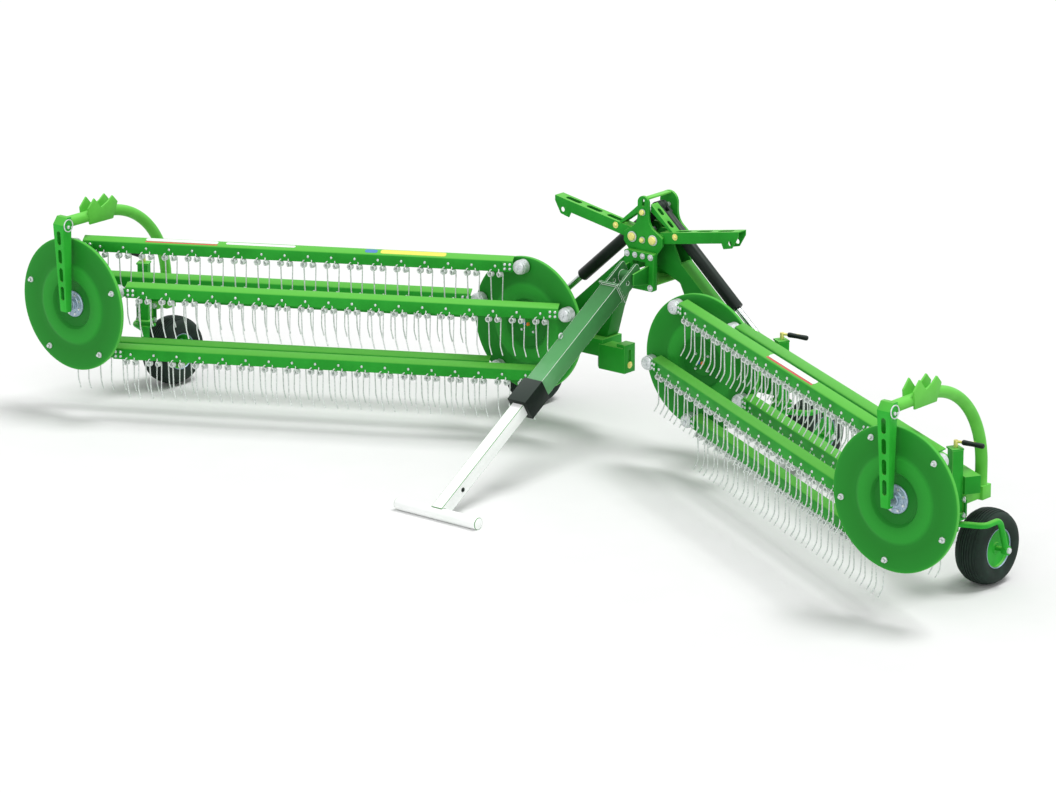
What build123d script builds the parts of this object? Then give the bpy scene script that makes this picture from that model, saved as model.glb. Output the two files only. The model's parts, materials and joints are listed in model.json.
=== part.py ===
"""Basket hay rake: two oblique reels of parallel tine bars on folding arms.

Millimetres, +Z up, X = 0 is the plane between the reels, the parking leg points to -Y.
Everything is drawn for the right-hand side and mirrored for the left, with Y = 0 at the
inner discs, and then moved so that the origin is below the middle of the whole machine.
"""
import os
from math import atan2, cos, degrees, hypot, radians, sin, tan

from build123d import *

# Running and seating clearances
RUN_GAP = 0.06      # radial, a shaft in its bore
SEAT_GAP = 0.3      # between pieces that rest on each other
SLIDE_GAP = 0.4     # a square tube in its guide

# Reels: an inner disc, an outer disc further forward, and five bars that stay parallel
DISC_X_INNER = 690
DISC_X_OUTER = 3210
DISC_Y_OUTER = -1487
REEL_Z = 730
DISC_R = 430
DISC_PLATE = 6
DISC_DISH = 14           # recess in the middle
DISC_RING_RISE = 10      # the middle ring stands forward of the outer one
RING_OUTER_R = 268
RING_INNER_R = 165
RING_SLOPE = 20
DISC_LIP = 18
DISC_HUB_R = 85
HUB_FLANGE_T = 24
SHAFT_R = 30
SHAFT_INSIDE = 60
SHAFT_END_GAP = 4
HOUSING_R = 68
HOUSING_Y = (60, 300)
BEARING_PLATE_T = 26
BEARING_HALF_W = 120
PIN_CIRCLE_R = 374
PIN_R = 12
PIN_OFFSET = 50          # disc plane to the middle of a bar's hub
PIN_END_GAP = 2
BARS = 5
PIN_PHASE = {"right": 44.8, "left": 15.7}    # first pin, degrees up from the outward side

# Tine bars: a steel angle with a round hub at each end
HUB_R = 46
HUB_WIDTH = 76
HUB_DOME = 14
FLANGE_H = 70
FLANGE_T = 6
TOP_FLANGE_W = 62
TOP_FLANGE_TILT = 20
BAR_START = 50           # hub centre to the end of the angle
BRACKET_L = 118
BRACKET_H = 52

# Double tines, bolted behind the upright flange
TINES = 18
TINE_PITCH = 150
FIRST_TINE = 162
LEG_HALF_SPACING = 37.5
COIL_HALF_SPACING = 28
COIL_R = 19
COIL_DROP = 55           # pin height to coil centre
BEND_DROP = 230
TIP_DROP = 285
TIP_HOOK = 28
WIRE = 8
TINE_CLAMP_DROP = 12
TINE_DEPTH = 12

# Mast: two plates, Y ranges from front to back
MAST_FRONT = (286, 304)
MAST_REAR = (545, 561)
MAST_TOP = 1610
CROWN_HALF = 43
CROWN_SLOT = (22, 52)
CROWN_SLOT_RISE = 60     # top bolt to the slot's middle
SHOULDER_R = 130
HOLLOW_SHARE = 0.35       # where the hollow edge bends most, of its width and height
MAST_HALF = 150
MAST_LOW_HALF = 98
REAR_TOP_DROP = 12
REAR_HALF = 70
ARM_PIN_X = 81
ARM_PIN_R = 20
PIN_HEAD_R = 34
PIN_CAP_R = 25
PIN_HEAD_T = 8
PIN_CAP_T = 10
CYL_PIN_Z = MAST_TOP - 103
CYL_PIN_R = 16
ARM_PIN_Z = CYL_PIN_Z - 167
MID_BOLT_Z = ARM_PIN_Z - 10
MID_BOLT_R = 13
BOLT_HEAD_R = 21
MAST_LOW = ARM_PIN_Z - 300
BRIDGE_T = 12
BRIDGE_INSET = 3

# Hitch plate on the mast's front
HITCH_HALF_W = 115
HITCH_Z = (ARM_PIN_Z - 320, ARM_PIN_Z - 78)
HITCH_T = 40
HITCH_WINDOW = (100, 76)
HITCH_WINDOW_Z = ARM_PIN_Z - 175
HITCH_BOLT_SPACING = (184, 196)
HITCH_BOLT_R = 9
HITCH_CORNER = 14

# Lock arms: inverted channels that hold the folded arms for road travel
LOCK_Y = (310, 392)
LOCK_ROOT_X = 110
LOCK_TIP_X = 722
LOCK_TIP_Z = ARM_PIN_Z + 156
LOCK_RISE = 10
LOCK_WALL = 7
LOCK_DEPTH = 72
LOCK_HOOK_BACK = 128     # tip to where the hook starts
LOCK_HOOK_DROP = 128
LOCK_TIP_DEPTH = 34
LOCK_HOLE_R = 16
LOCK_HOLE_BACK = 62
LOCK_HOLE_DROP = 84
LOCK_SLOTS = 3
LOCK_SLOT = (120, 40)
LOCK_SLOT_START = 160
LOCK_SLOT_PITCH = 165
BRACE_TOP = (38, MAST_TOP - 52)
BRACE_LOW_X = 212
BRACE_DEPTH = 34
BRACE_SLOT = (56, 30)
BRACE_SLOT_AT = (0.3, 0.74)   # shares of the brace's run

# Folding arms: two plates with webs on a box beam
ARM_Y = (400, 515)
ARM_PLATE = 12
ARM_WEB = 12
ARM_BOSS_R = 58
BEAM_TOP = 610
BEAM_H = 110
OBLIQUE_Z = (610, 715)   # the oblique beam lies on the foot beam
NECK_FOOT_X = (372, 870)
NECK_SIDE = 195                                         # below the pin, at the inner side
NECK_INSIDE = [(206, 275), (268, 400), (320, 540)]      # (x, drop below the pin)
NECK_OUTSIDE = [(640, 534), (212, 154)]
NECK_OPENING = 150
NECK_CORNER = 16
FOOT_X = (352, 1035)
FOOT_Y = (330, 525)
BOX_X = (185, 420)
BOX_Y = (326, 432)
BOX_Z = (421, 582)
BOX_CHAMFER = 44
BOX_PLATE_T = 14
BOX_TAB = (60, 22)
BOX_SLOT = (26, 96)
BEAM_W = 100
BEAM_BEFORE_POST = 150
BEAM_PAST_POST = 60
ROD_EYE_X = 920
ROD_EYE_Z = 690
LUG_T = 14
LUG_GAP = 24             # rod's middle to a lug

# Wheel posts, their sockets in the beam's front face
POST_SIDE = 70
POST_INNER = (1075, 300)
POST_SPACING = 2403      # along the bars' direction
POST_TOP = 870
POST_LOW = 500
POST_PLATE = 110
POST_PLATE_T = 12
POST_CAP_LAP = 6
PLATE_CORNER = 20
CRANK_R = 8
CRANK_RISE = 34
CRANK_REACH = 120
HANDLE_R = 14
HANDLE_H = 70
CRANK_BOSS = 1.6         # boss to crank rod
CRANK_SKEW = 20          # the arm's end stands this far back

# Casters and wheels
RING_R = 50
CASTER_TOP = 468
CASTER_PLATE_T = 14
STUB_R = 28
STUB_LOW = 380
TRAIL = 290
WHEEL_OFFSET = 35
TYRE_R = 225
TYRE_W = 200
RIM_R = 120
RIM_T = 8
RIM_DISC_X = 54
RIM_DISC_T = 10
RIM_INSET = 22           # tyre side to the rim's edge
AXLE_R = 15
WHEEL_HUB_R = 34
WHEEL_HUB_W = 136
AXLE_INSET = 10          # the axle's end inside the hub
CASTER_ARM_R = 18
CASTER_ARM_H = 44
CASTER_ARM_GAP = 14      # tyre side to caster arm
CASTER_KNEE = 70
CASTER_BEND_R = 60
SWIVEL_LIMIT = 60

# Gooseneck over the reel's outer end, and the link down to the disc's hub
GOOSE_X = 3203
GOOSE_BASE_Y = -630
GOOSE_BASE_Z = (530, 612)
GOOSE_BASE_SIDE = 84
STUB_Z = (540, 602)
STUB_HALF = 27
CLAMP_Z = (506, OBLIQUE_Z[0] - 3)
CLAMP_HALF = 46
CLAMP_T = 14
GOOSE_R = 36
GOOSE_TOP_Z = 1277
GOOSE_BEND_R = 550
LINK_Y_BACK = -1532
LINK_DEPTH_LOW = 46
LINK_DEPTH_TOP = 76
LINK_HALF_LOW = 26
LINK_HALF_TOP = 38
LINK_LOW_DROP = 34
LINK_WEB_TOP = GOOSE_TOP_Z - 4
LINK_WALL = 7
LINK_SLOT = (92, 32)
LINK_SLOTS = 4
LINK_SLOT_START = 90
LINK_SLOT_PITCH = 122
CATCH_Y = (-1360, -1150)
CATCH_T = 12
CATCH_LAP = 6
CATCH_LOW = 44
CATCH_H = 118

# Hydraulic cylinders between the mast's top bolt and the arms
CYL_Y = 457
BARREL_R = 40
BARREL_START = 62
BARREL_END = 820
EYE_R = 40
EYE_W = 30
EYE_GAP = 3              # eye's side to the fork's ear
NECK_START = 8           # the eyes' necks run this far into the barrel
NECK_SHARE = 0.8         # half a neck's depth to the eye's radius
BARREL_SKIN = 2
BORE_SPARE = 10          # bore past the rod's end when folded
ROD_R = 20
ROD_INSIDE = 110
FOLD = 85

# Parking leg, on an inclined axis through the foot tube's centre
FOOT_TUBE_R = 37.5
FOOT_TUBE_HALF = 318
FOOT_TUBE_Y = -1682
LEG_INNER = 84
LEG_OUTER = 118
LEG_WALL = 6
COLLAR_SIDE = 142
COLLAR_S = (908, 1098)       # distances up the leg from the foot
LEG_INNER_TOP_S = 1400
LEG_FLANGE_T = 14
LEG_FLANGE_LAP = 15
LEG_PIVOT = (140, ARM_PIN_Z - 215)
LEG_OVER_PIVOT = 33      # the leg's axis passes this far above the pivot
LEG_TOP_GAP = 188        # tube's end to the pivot
LEG_SLOPE = degrees(atan2(LEG_PIVOT[1] + LEG_OVER_PIVOT - FOOT_TUBE_R, LEG_PIVOT[0] - FOOT_TUBE_Y))
LEG_TOP_S = hypot(LEG_PIVOT[1] + LEG_OVER_PIVOT - FOOT_TUBE_R, LEG_PIVOT[0] - FOOT_TUBE_Y) - LEG_TOP_GAP
LUG_HALF = 46
LUG_HOLE_R = 14
LUG_PLATE_T = 16
LEG_PIVOT_R = 22
LEG_TUBE_R = 38
LEG_TUBE_HALF = 62
BRACKET_HALF = 66
CHEEK_T = 14
CHEEK_H = 120
CHEEK_NOSE = 72          # the cheeks' depth at their free end
LEG_SLIDE_START = 10

# Reach of the machine to the front and the rear, for the origin
FRONT_Y = FOOT_TUBE_Y - FOOT_TUBE_R
REAR_Y = POST_INNER[1] + TRAIL + TYRE_R
SHIFT_Y = -(FRONT_Y + REAR_Y) / 2


def block(x, y, z):
    """A box between the two limits of each axis."""
    size = [abs(v[1] - v[0]) for v in (x, y, z)]
    middle = [(v[0] + v[1]) / 2 for v in (x, y, z)]
    return Pos(*middle) * Box(*size)


def inset(points, amount):
    """A counter-clockwise outline moved inwards by the same amount on every side."""
    moved = []
    count = len(points)
    for i, (x, z) in enumerate(points):
        before = points[i - 1]
        after = points[(i + 1) % count]
        into = Vector(before[1] - z, x - before[0], 0).normalized()
        out = Vector(z - after[1], after[0] - x, 0).normalized()
        step = (into + out) * (amount / (1 + into.dot(out)))
        moved.append((x + step.X, z + step.Y))
    return moved


def plate_xz(points, y, radius=0):
    """A plate across Y from an outline of (x, z) points."""
    corners = [(px, y[0], pz) for px, pz in points]
    return plate(corners, (0, y[1] - y[0], 0), radius)


def plate_yz(points, x, radius=0):
    """A plate across X from an outline of (y, z) points."""
    corners = [(x[0], py, pz) for py, pz in points]
    return plate(corners, (x[1] - x[0], 0, 0), radius)


def plate_xy(points, z, radius=0):
    """A plate across Z from an outline of (x, y) points."""
    corners = [(px, py, z[0]) for px, py in points]
    return plate(corners, (0, 0, z[1] - z[0]), radius)


def plate(corners, way, radius=0):
    """An extruded outline, its corners rounded where a radius is given."""
    if radius:
        edge = FilletPolyline(*corners, radius=radius, close=True)
    else:
        edge = Polyline(*corners, close=True)
    direction = Vector(*way)
    return extrude(make_face(edge), amount=direction.length, dir=direction.normalized())


def rod(start, end, radius):
    """A round bar between two points."""
    way = Vector(*end) - Vector(*start)
    face = Plane(origin=start, z_dir=way) * Circle(radius)
    return extrude(face, amount=way.length)


def turned(profile, centre, axis):
    """A ring or dish from (radius, height) points about an axis through the centre."""
    frame = Plane(origin=centre, z_dir=axis)
    corners = [frame.from_local_coords((r, 0, h)) for r, h in profile]
    face = make_face(Polyline(*corners, close=True))
    return revolve(face, axis=Axis(centre, axis), revolution_arc=360)


def mirrored(shape, side):
    """The shape as it is on the right, or mirrored for the left."""
    if side == "left":
        return mirror(shape, about=Plane.YZ)
    return shape


def save(name, *shapes):
    """Write one node's solids, moved so that the origin is below the middle."""
    solids = []
    for shape in shapes:
        solids += shape.solids()
    moved = [solid.moved(Location((0, SHIFT_Y, 0))) for solid in solids]
    export_step(moved[0] if len(moved) == 1 else Compound(moved), f"parts/{name}.step")


# The bars' direction, along a bar and square to it towards the rear
BAR_RUN = Vector(DISC_X_OUTER - DISC_X_INNER, DISC_Y_OUTER + 2 * PIN_OFFSET, 0)
BAR_LENGTH = BAR_RUN.length
BAR_ANGLE = degrees(atan2(BAR_RUN.Y, BAR_RUN.X))
BAR_FRAME = Plane(origin=(0, 0, 0), x_dir=BAR_RUN, z_dir=(0, 0, 1))
BAR_WAY = BAR_RUN.normalized()
POST_OUTER = (POST_INNER[0] + POST_SPACING * BAR_WAY.X, POST_INNER[1] + POST_SPACING * BAR_WAY.Y)


def tine_outline():
    """One double tine seen from the front, u along the bar and z from the pin height."""
    coil_out = COIL_HALF_SPACING + COIL_R
    leg_out = LEG_HALF_SPACING + WIRE / 2
    leg_in = LEG_HALF_SPACING - WIRE / 2
    crotch = COIL_HALF_SPACING - COIL_R
    coil_low = COIL_DROP + COIL_R
    right = [
        (coil_out, -TINE_CLAMP_DROP),
        (leg_out, -BEND_DROP),
        (leg_out - TIP_HOOK, -TIP_DROP),
        (leg_in - TIP_HOOK, -TIP_DROP),
        (leg_in, -BEND_DROP),
        (crotch, -coil_low),
    ]
    left = [
        (-crotch, -coil_low),
        (-leg_in, -BEND_DROP),
        (-leg_in - TIP_HOOK, -TIP_DROP),
        (-leg_out - TIP_HOOK, -TIP_DROP),
        (-leg_out, -BEND_DROP),
        (-coil_out, -TINE_CLAMP_DROP),
    ]
    return right + left


def tine_bar():
    """A bar with its tines and both hubs, its inner hub's centre at the origin."""
    half = FLANGE_H / 2
    tilt = radians(TOP_FLANGE_TILT)
    back = FLANGE_T / 2
    section = [
        (-back, -half),
        (back, -half),
        (back, half - FLANGE_T),
        (back + TOP_FLANGE_W * cos(tilt), half - FLANGE_T + TOP_FLANGE_W * sin(tilt)),
        (back + TOP_FLANGE_W * cos(tilt), half + TOP_FLANGE_W * sin(tilt)),
        (-back, half),
    ]
    corners = [(BAR_START, v, z) for v, z in section]
    pieces = [plate(corners, (BAR_LENGTH - 2 * BAR_START, 0, 0))]
    for i in range(TINES):
        middle = FIRST_TINE + i * TINE_PITCH
        outline = [(middle + u, back, z) for u, z in tine_outline()]
        pieces.append(plate(outline, (0, TINE_DEPTH, 0)))
    for start in (0, BAR_LENGTH - BRACKET_L):
        limits = (start, start + BRACKET_L)
        pieces.append(block(limits, (-back - FLANGE_T, -back), (-BRACKET_H / 2, BRACKET_H / 2)))
    bar = BAR_FRAME * Part(pieces[0].fuse(*pieces[1:]).wrapped)
    hubs = [bar_hub((0, 0, 0), -1), bar_hub((BAR_RUN.X, BAR_RUN.Y, 0), 1)]
    bar = bar.fuse(*hubs)
    for centre, way in (((0, 0, 0), 1), ((BAR_RUN.X, BAR_RUN.Y, 0), -1)):
        bar -= pin_bore(centre, way)
    return bar


def bar_hub(centre, dome_way):
    """A hub on a pin along Y, domed on the side away from its disc."""
    half = HUB_WIDTH / 2
    profile = [
        (0, -half),
        (HUB_R, -half),
        (HUB_R, half - HUB_DOME),
        (HUB_R - HUB_DOME, half),
        (0, half),
    ]
    return turned(profile, centre, (0, dome_way, 0))


def pin_bore(centre, open_way):
    """The blind bore of a hub, open towards its disc."""
    half = HUB_WIDTH / 2
    x, y, z = centre
    start = (x, y - open_way * (half - HUB_DOME), z)
    end = (x, y + open_way * (half + 1), z)
    return rod(start, end, PIN_R + RUN_GAP)


def pin_centres(phase):
    """The places of the pins about a disc's centre."""
    angles = [radians(phase + 360 / BARS * i) for i in range(BARS)]
    return [(PIN_CIRCLE_R * cos(a), PIN_CIRCLE_R * sin(a)) for a in angles]


def disc(centre, phase, bar_way):
    """A pressed disc with its pins towards the bars."""
    half = DISC_PLATE / 2
    face = [
        (0, DISC_DISH),
        (RING_INNER_R - RING_SLOPE, DISC_DISH),
        (RING_INNER_R, -DISC_RING_RISE),
        (RING_OUTER_R - RING_SLOPE, -DISC_RING_RISE),
        (RING_OUTER_R, 0),
        (DISC_R, 0),
    ]
    front = [(r, h - half) for r, h in face]
    lip = [(DISC_R, DISC_LIP), (DISC_R - DISC_PLATE, DISC_LIP), (DISC_R - DISC_PLATE, half)]
    back = [(r, h + half) for r, h in reversed(face[:-1])]
    body = turned(front + lip + back, centre, (0, 1, 0))
    x, y, z = centre
    shoulder = PIN_OFFSET - HUB_WIDTH / 2 - SEAT_GAP
    reach = PIN_OFFSET + HUB_WIDTH / 2 - HUB_DOME - PIN_END_GAP
    for dx, dz in pin_centres(phase):
        foot = (x + dx, y, z + dz)
        body += rod(foot, (x + dx, y + bar_way * shoulder, z + dz), PIN_R * 2)
        body += rod(foot, (x + dx, y + bar_way * reach, z + dz), PIN_R)
    return body


def inner_disc(phase):
    """The driven disc, with its shaft running back into the housing."""
    centre = (DISC_X_INNER, 0, REEL_Z)
    body = disc(centre, phase, -1)
    end = HOUSING_Y[0] + SHAFT_INSIDE
    body += rod(centre, (DISC_X_INNER, end, REEL_Z), SHAFT_R)
    flange = (DISC_DISH, DISC_DISH + HUB_FLANGE_T)
    body += rod((DISC_X_INNER, flange[0], REEL_Z), (DISC_X_INNER, flange[1], REEL_Z), DISC_HUB_R)
    return body


def outer_disc(phase):
    """The carried disc, with its shaft running forward into the link."""
    centre = (DISC_X_OUTER, DISC_Y_OUTER, REEL_Z)
    body = disc(centre, phase, 1)
    x, y, z = centre
    body += rod((x, y + DISC_DISH, z), (x, LINK_Y_BACK - LINK_DEPTH_LOW / 2, z), SHAFT_R)
    body += rod((x, y + DISC_DISH, z), (x, y + DISC_DISH - HUB_FLANGE_T, z), DISC_HUB_R)
    return body


def reel_bearing():
    """Housing of the driven disc's shaft, on a plate against the beam's front."""
    x = DISC_X_INNER
    plate_y = (FOOT_Y[0] - BEARING_PLATE_T, FOOT_Y[0])
    outline = [
        (x - BEARING_HALF_W, BEAM_TOP - BEAM_H),
        (x + BEARING_HALF_W, BEAM_TOP - BEAM_H),
        (x + BEARING_HALF_W, BEAM_TOP),
        (x + HOUSING_R, REEL_Z + HOUSING_R + BEARING_PLATE_T),
        (x - HOUSING_R, REEL_Z + HOUSING_R + BEARING_PLATE_T),
        (x - BEARING_HALF_W, BEAM_TOP),
    ]
    body = plate_xz(outline, plate_y, PLATE_CORNER)
    body += rod((x, HOUSING_Y[0], REEL_Z), (x, plate_y[0] + 1, REEL_Z), HOUSING_R)
    bore_end = HOUSING_Y[0] + SHAFT_INSIDE + SHAFT_END_GAP
    body -= rod((x, HOUSING_Y[0] - 1, REEL_Z), (x, bore_end, REEL_Z), SHAFT_R + RUN_GAP)
    return body


def mast_face(y, top, crown_half):
    """A mast plate: rounded crown, hollow shoulders, full width round the arm pins."""
    wide_z = ARM_PIN_Z + ARM_PIN_R
    sweep_x = MAST_HALF - crown_half
    shoulder_z = wide_z + SHOULDER_R
    edge = Polyline(
        (crown_half, top - crown_half),
        (crown_half, shoulder_z),
    )
    hollow = Spline(
        (crown_half, shoulder_z),
        (crown_half + sweep_x * HOLLOW_SHARE, wide_z + SHOULDER_R * HOLLOW_SHARE),
        (MAST_HALF, wide_z),
        tangents=((0, -1), (1, -1)),
    )
    low = Polyline(
        (MAST_HALF, wide_z),
        (MAST_HALF, ARM_PIN_Z - PIN_HEAD_R),
        (MAST_LOW_HALF, ARM_PIN_Z - 3 * PIN_HEAD_R),
        (MAST_LOW_HALF, MAST_LOW),
        (0, MAST_LOW),
    )
    crown = CenterArc((0, top - crown_half), crown_half, 0, 90)
    half = make_face(crown + edge + hollow + low + Line((0, MAST_LOW), (0, top)))
    whole = half + mirror(half, about=Plane.YZ)
    frame = Plane(origin=(0, y[1], 0), x_dir=(1, 0, 0), z_dir=(0, -1, 0))
    return extrude(frame * whole, amount=y[1] - y[0])


def pin_holes(shape, y):
    """Bores for the arm pins, the top bolt and the middle bolt."""
    table = [
        (ARM_PIN_X, ARM_PIN_Z, ARM_PIN_R),
        (-ARM_PIN_X, ARM_PIN_Z, ARM_PIN_R),
        (0, CYL_PIN_Z, CYL_PIN_R),
        (0, MID_BOLT_Z, MID_BOLT_R),
    ]
    for x, z, r in table:
        shape -= rod((x, y[0] - 1, z), (x, y[1] + 1, z), r + RUN_GAP)
    return shape


def hitch_cuts(shape, y):
    """The hitch's window and bolt holes, through one of the two plates."""
    half_w = HITCH_WINDOW[0] / 2
    half_h = HITCH_WINDOW[1] / 2
    window_z = (HITCH_WINDOW_Z - half_h, HITCH_WINDOW_Z + half_h)
    shape -= block((-half_w, half_w), (y[0] - 1, y[1] + 1), window_z)
    middle = (HITCH_Z[0] + HITCH_Z[1]) / 2
    for sx in (-0.5, 0.5):
        for sz in (-0.5, 0.5):
            x = sx * HITCH_BOLT_SPACING[0]
            z = middle + sz * HITCH_BOLT_SPACING[1]
            shape -= rod((x, y[0] - 1, z), (x, y[1] + 1, z), HITCH_BOLT_R)
    return shape


def mast_front_plate():
    """Front plate, with the upright slot above the top bolt."""
    body = mast_face(MAST_FRONT, MAST_TOP, CROWN_HALF)
    slot_w, slot_h = CROWN_SLOT
    middle = (MAST_FRONT[0] + MAST_FRONT[1]) / 2
    slot = Pos(0, middle, CYL_PIN_Z + CROWN_SLOT_RISE) * Rot(90, 0, 0) * Rot(0, 0, 90) * extrude(
        SlotOverall(slot_h, slot_w), amount=MAST_FRONT[1] - MAST_FRONT[0], both=True)
    body -= slot
    body = hitch_cuts(body, MAST_FRONT)
    return pin_holes(body, MAST_FRONT)


def mast_rear_plate():
    """Rear plate, lower and wider at the crown than the front one."""
    body = mast_face(MAST_REAR, MAST_TOP - REAR_TOP_DROP, REAR_HALF)
    return pin_holes(body, MAST_REAR)


def mast_bridge():
    """Plates that join the two mast plates at the top and the bottom."""
    y = (MAST_FRONT[1], MAST_REAR[0])
    half = CROWN_HALF / 2
    top_z = MAST_TOP - REAR_TOP_DROP - BRIDGE_INSET
    top = block((-half, half), y, (top_z - BRIDGE_T, top_z))
    low_half = MAST_LOW_HALF - BRIDGE_T
    low_z = MAST_LOW + BRIDGE_INSET
    low = block((-low_half, low_half), y, (low_z, low_z + BRIDGE_T))
    return top, low


def hitch_plate():
    """Plate on the mast's front that the machine hangs from, with a square window."""
    y = (MAST_FRONT[0] - HITCH_T, MAST_FRONT[0])
    w = HITCH_HALF_W
    low, high = HITCH_Z
    outline = [(-w, low), (w, low), (w, high), (-w, high)]
    body = plate_xz(outline, y, HITCH_CORNER)
    return hitch_cuts(body, y)


def mast_pins():
    """Arm pins with washers and caps, the top bolt and the middle bolt."""
    table = [
        (ARM_PIN_X, ARM_PIN_Z, ARM_PIN_R, PIN_HEAD_R, PIN_CAP_R),
        (-ARM_PIN_X, ARM_PIN_Z, ARM_PIN_R, PIN_HEAD_R, PIN_CAP_R),
        (0, CYL_PIN_Z, CYL_PIN_R, BOLT_HEAD_R, CYL_PIN_R),
        (0, MID_BOLT_Z, MID_BOLT_R, BOLT_HEAD_R, MID_BOLT_R),
    ]
    front = MAST_FRONT[0] - SEAT_GAP
    rear = MAST_REAR[1] + SEAT_GAP
    pins = []
    for x, z, r, washer, cap in table:
        pin = rod((x, front - PIN_HEAD_T, z), (x, rear + PIN_HEAD_T, z), r)
        for seat, way in ((front, -1), (rear, 1)):
            outside = seat + way * PIN_HEAD_T
            pin += rod((x, seat, z), (x, outside, z), washer)
            pin += rod((x, outside, z), (x, outside + way * PIN_CAP_T, z), cap)
        pins.append(pin)
    return pins


def lock_top(x):
    """Height of a lock arm's top face."""
    return LOCK_TIP_Z - (LOCK_TIP_X - x) * tan(radians(LOCK_RISE))


def lock_arm():
    """Inverted channel with slots on top, hooked cheeks at its tip, and its brace."""
    hook_x = LOCK_TIP_X - LOCK_HOOK_BACK
    outline = [
        (LOCK_ROOT_X, lock_top(LOCK_ROOT_X) - LOCK_DEPTH),
        (hook_x, lock_top(hook_x) - LOCK_DEPTH),
        (hook_x + LOCK_HOOK_BACK / 8, LOCK_TIP_Z - LOCK_HOOK_DROP),
        (LOCK_TIP_X - LOCK_HOLE_BACK + LOCK_HOLE_R, LOCK_TIP_Z - LOCK_HOOK_DROP + LOCK_HOLE_R),
        (LOCK_TIP_X, LOCK_TIP_Z - LOCK_TIP_DEPTH),
        (LOCK_TIP_X, LOCK_TIP_Z),
        (LOCK_ROOT_X, lock_top(LOCK_ROOT_X)),
    ]
    body = plate_xz(outline, LOCK_Y)
    below = LOCK_HOOK_DROP
    hollow = [
        (LOCK_ROOT_X - 1, lock_top(LOCK_ROOT_X) - below),
        (LOCK_TIP_X + 1, LOCK_TIP_Z - LOCK_HOOK_DROP - below),
        (LOCK_TIP_X + 1, lock_top(LOCK_TIP_X + 1) - LOCK_WALL),
        (LOCK_ROOT_X - 1, lock_top(LOCK_ROOT_X - 1) - LOCK_WALL),
    ]
    inside = (LOCK_Y[0] + LOCK_WALL, LOCK_Y[1] - LOCK_WALL)
    body -= plate_xz(hollow, inside)
    middle = (LOCK_Y[0] + LOCK_Y[1]) / 2
    length, width = LOCK_SLOT
    for i in range(LOCK_SLOTS):
        x = LOCK_ROOT_X + LOCK_SLOT_START + i * LOCK_SLOT_PITCH
        body -= Pos(x, middle, lock_top(x)) * Rot(0, -LOCK_RISE, 0) * extrude(
            SlotOverall(length, width), amount=2 * LOCK_WALL, both=True)
    hole_x = LOCK_TIP_X - LOCK_HOLE_BACK
    hole_z = LOCK_TIP_Z - LOCK_HOLE_DROP
    body -= rod((hole_x, LOCK_Y[0] - 1, hole_z), (hole_x, LOCK_Y[1] + 1, hole_z), LOCK_HOLE_R)
    spacer = (MAST_FRONT[1], LOCK_Y[0])
    body += block((LOCK_ROOT_X, MAST_HALF - LOCK_WALL), spacer, (ARM_PIN_Z, ARM_PIN_Z + 2 * ARM_PIN_R))
    return body + brace(inside)


def brace(y):
    """Slotted channel from the mast's crown down to the lock arm."""
    low_z = lock_top(BRACE_LOW_X)
    top_x, top_z = BRACE_TOP
    slope = atan2(top_z - low_z, BRACE_LOW_X - top_x)
    drop_x = BRACE_DEPTH * sin(slope)
    drop_z = BRACE_DEPTH * cos(slope)
    outline = [
        (top_x, top_z),
        (BRACE_LOW_X, low_z),
        (BRACE_LOW_X - drop_x, low_z - LOCK_WALL / 2),
        (top_x, top_z - drop_z - drop_x),
    ]
    body = plate_xz(outline, y)
    cut = [(x - LOCK_WALL * sin(slope), z - LOCK_WALL * cos(slope)) for x, z in outline[:2]]
    cut += [(BRACE_LOW_X - 2 * drop_x, low_z - 2 * drop_z), (top_x - drop_x, top_z - 2 * drop_z - drop_x)]
    body -= plate_xz(cut, (y[0] + LOCK_WALL, y[1] - LOCK_WALL))
    length, width = BRACE_SLOT
    for share in BRACE_SLOT_AT:
        x = top_x + share * (BRACE_LOW_X - top_x)
        z = top_z - share * (top_z - low_z)
        body -= Pos(x, sum(y) / 2, z) * Rot(0, degrees(slope), 0) * extrude(
            SlotOverall(length, width), amount=2 * LOCK_WALL, both=True)
    return body


def neck_outline():
    """Side of the swan neck, from the pin boss down to the beam."""
    left = ARM_PIN_X - ARM_BOSS_R
    right = ARM_PIN_X + ARM_BOSS_R
    chamfer = ARM_BOSS_R / 2
    return [
        (left, ARM_PIN_Z + chamfer),
        (left, ARM_PIN_Z - NECK_SIDE),
        *[(x, ARM_PIN_Z - drop) for x, drop in NECK_INSIDE],
        (NECK_FOOT_X[0], BEAM_TOP),
        (NECK_FOOT_X[1], BEAM_TOP),
        *[(x, ARM_PIN_Z - drop) for x, drop in NECK_OUTSIDE],
        (right, ARM_PIN_Z),
        (right, ARM_PIN_Z + chamfer),
        (right - chamfer, ARM_PIN_Z + ARM_BOSS_R),
        (left + chamfer, ARM_PIN_Z + ARM_BOSS_R),
    ]


def swan_neck():
    """Two plates with webs along both edges, open round the pin for the cylinder."""
    outline = neck_outline()
    body = plate_xz(outline, ARM_Y, NECK_CORNER)
    inside = (ARM_Y[0] + ARM_PLATE, ARM_Y[1] - ARM_PLATE)
    body -= plate_xz(inset(outline, ARM_WEB), inside)
    body -= block((NECK_FOOT_X[0] + ARM_WEB, NECK_FOOT_X[1] - 3 * ARM_WEB), inside,
                  (BEAM_TOP - 1, BEAM_TOP + ARM_WEB + 1))
    opening_x = (ARM_PIN_X - 2 * ARM_BOSS_R, ARM_PIN_X + 3 * ARM_BOSS_R)
    body -= block(opening_x, inside, (ARM_PIN_Z - NECK_OPENING, ARM_PIN_Z + 2 * ARM_BOSS_R))
    body -= rod((ARM_PIN_X, ARM_Y[0] - 1, ARM_PIN_Z), (ARM_PIN_X, ARM_Y[1] + 1, ARM_PIN_Z),
                ARM_PIN_R + RUN_GAP)
    return body


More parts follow.
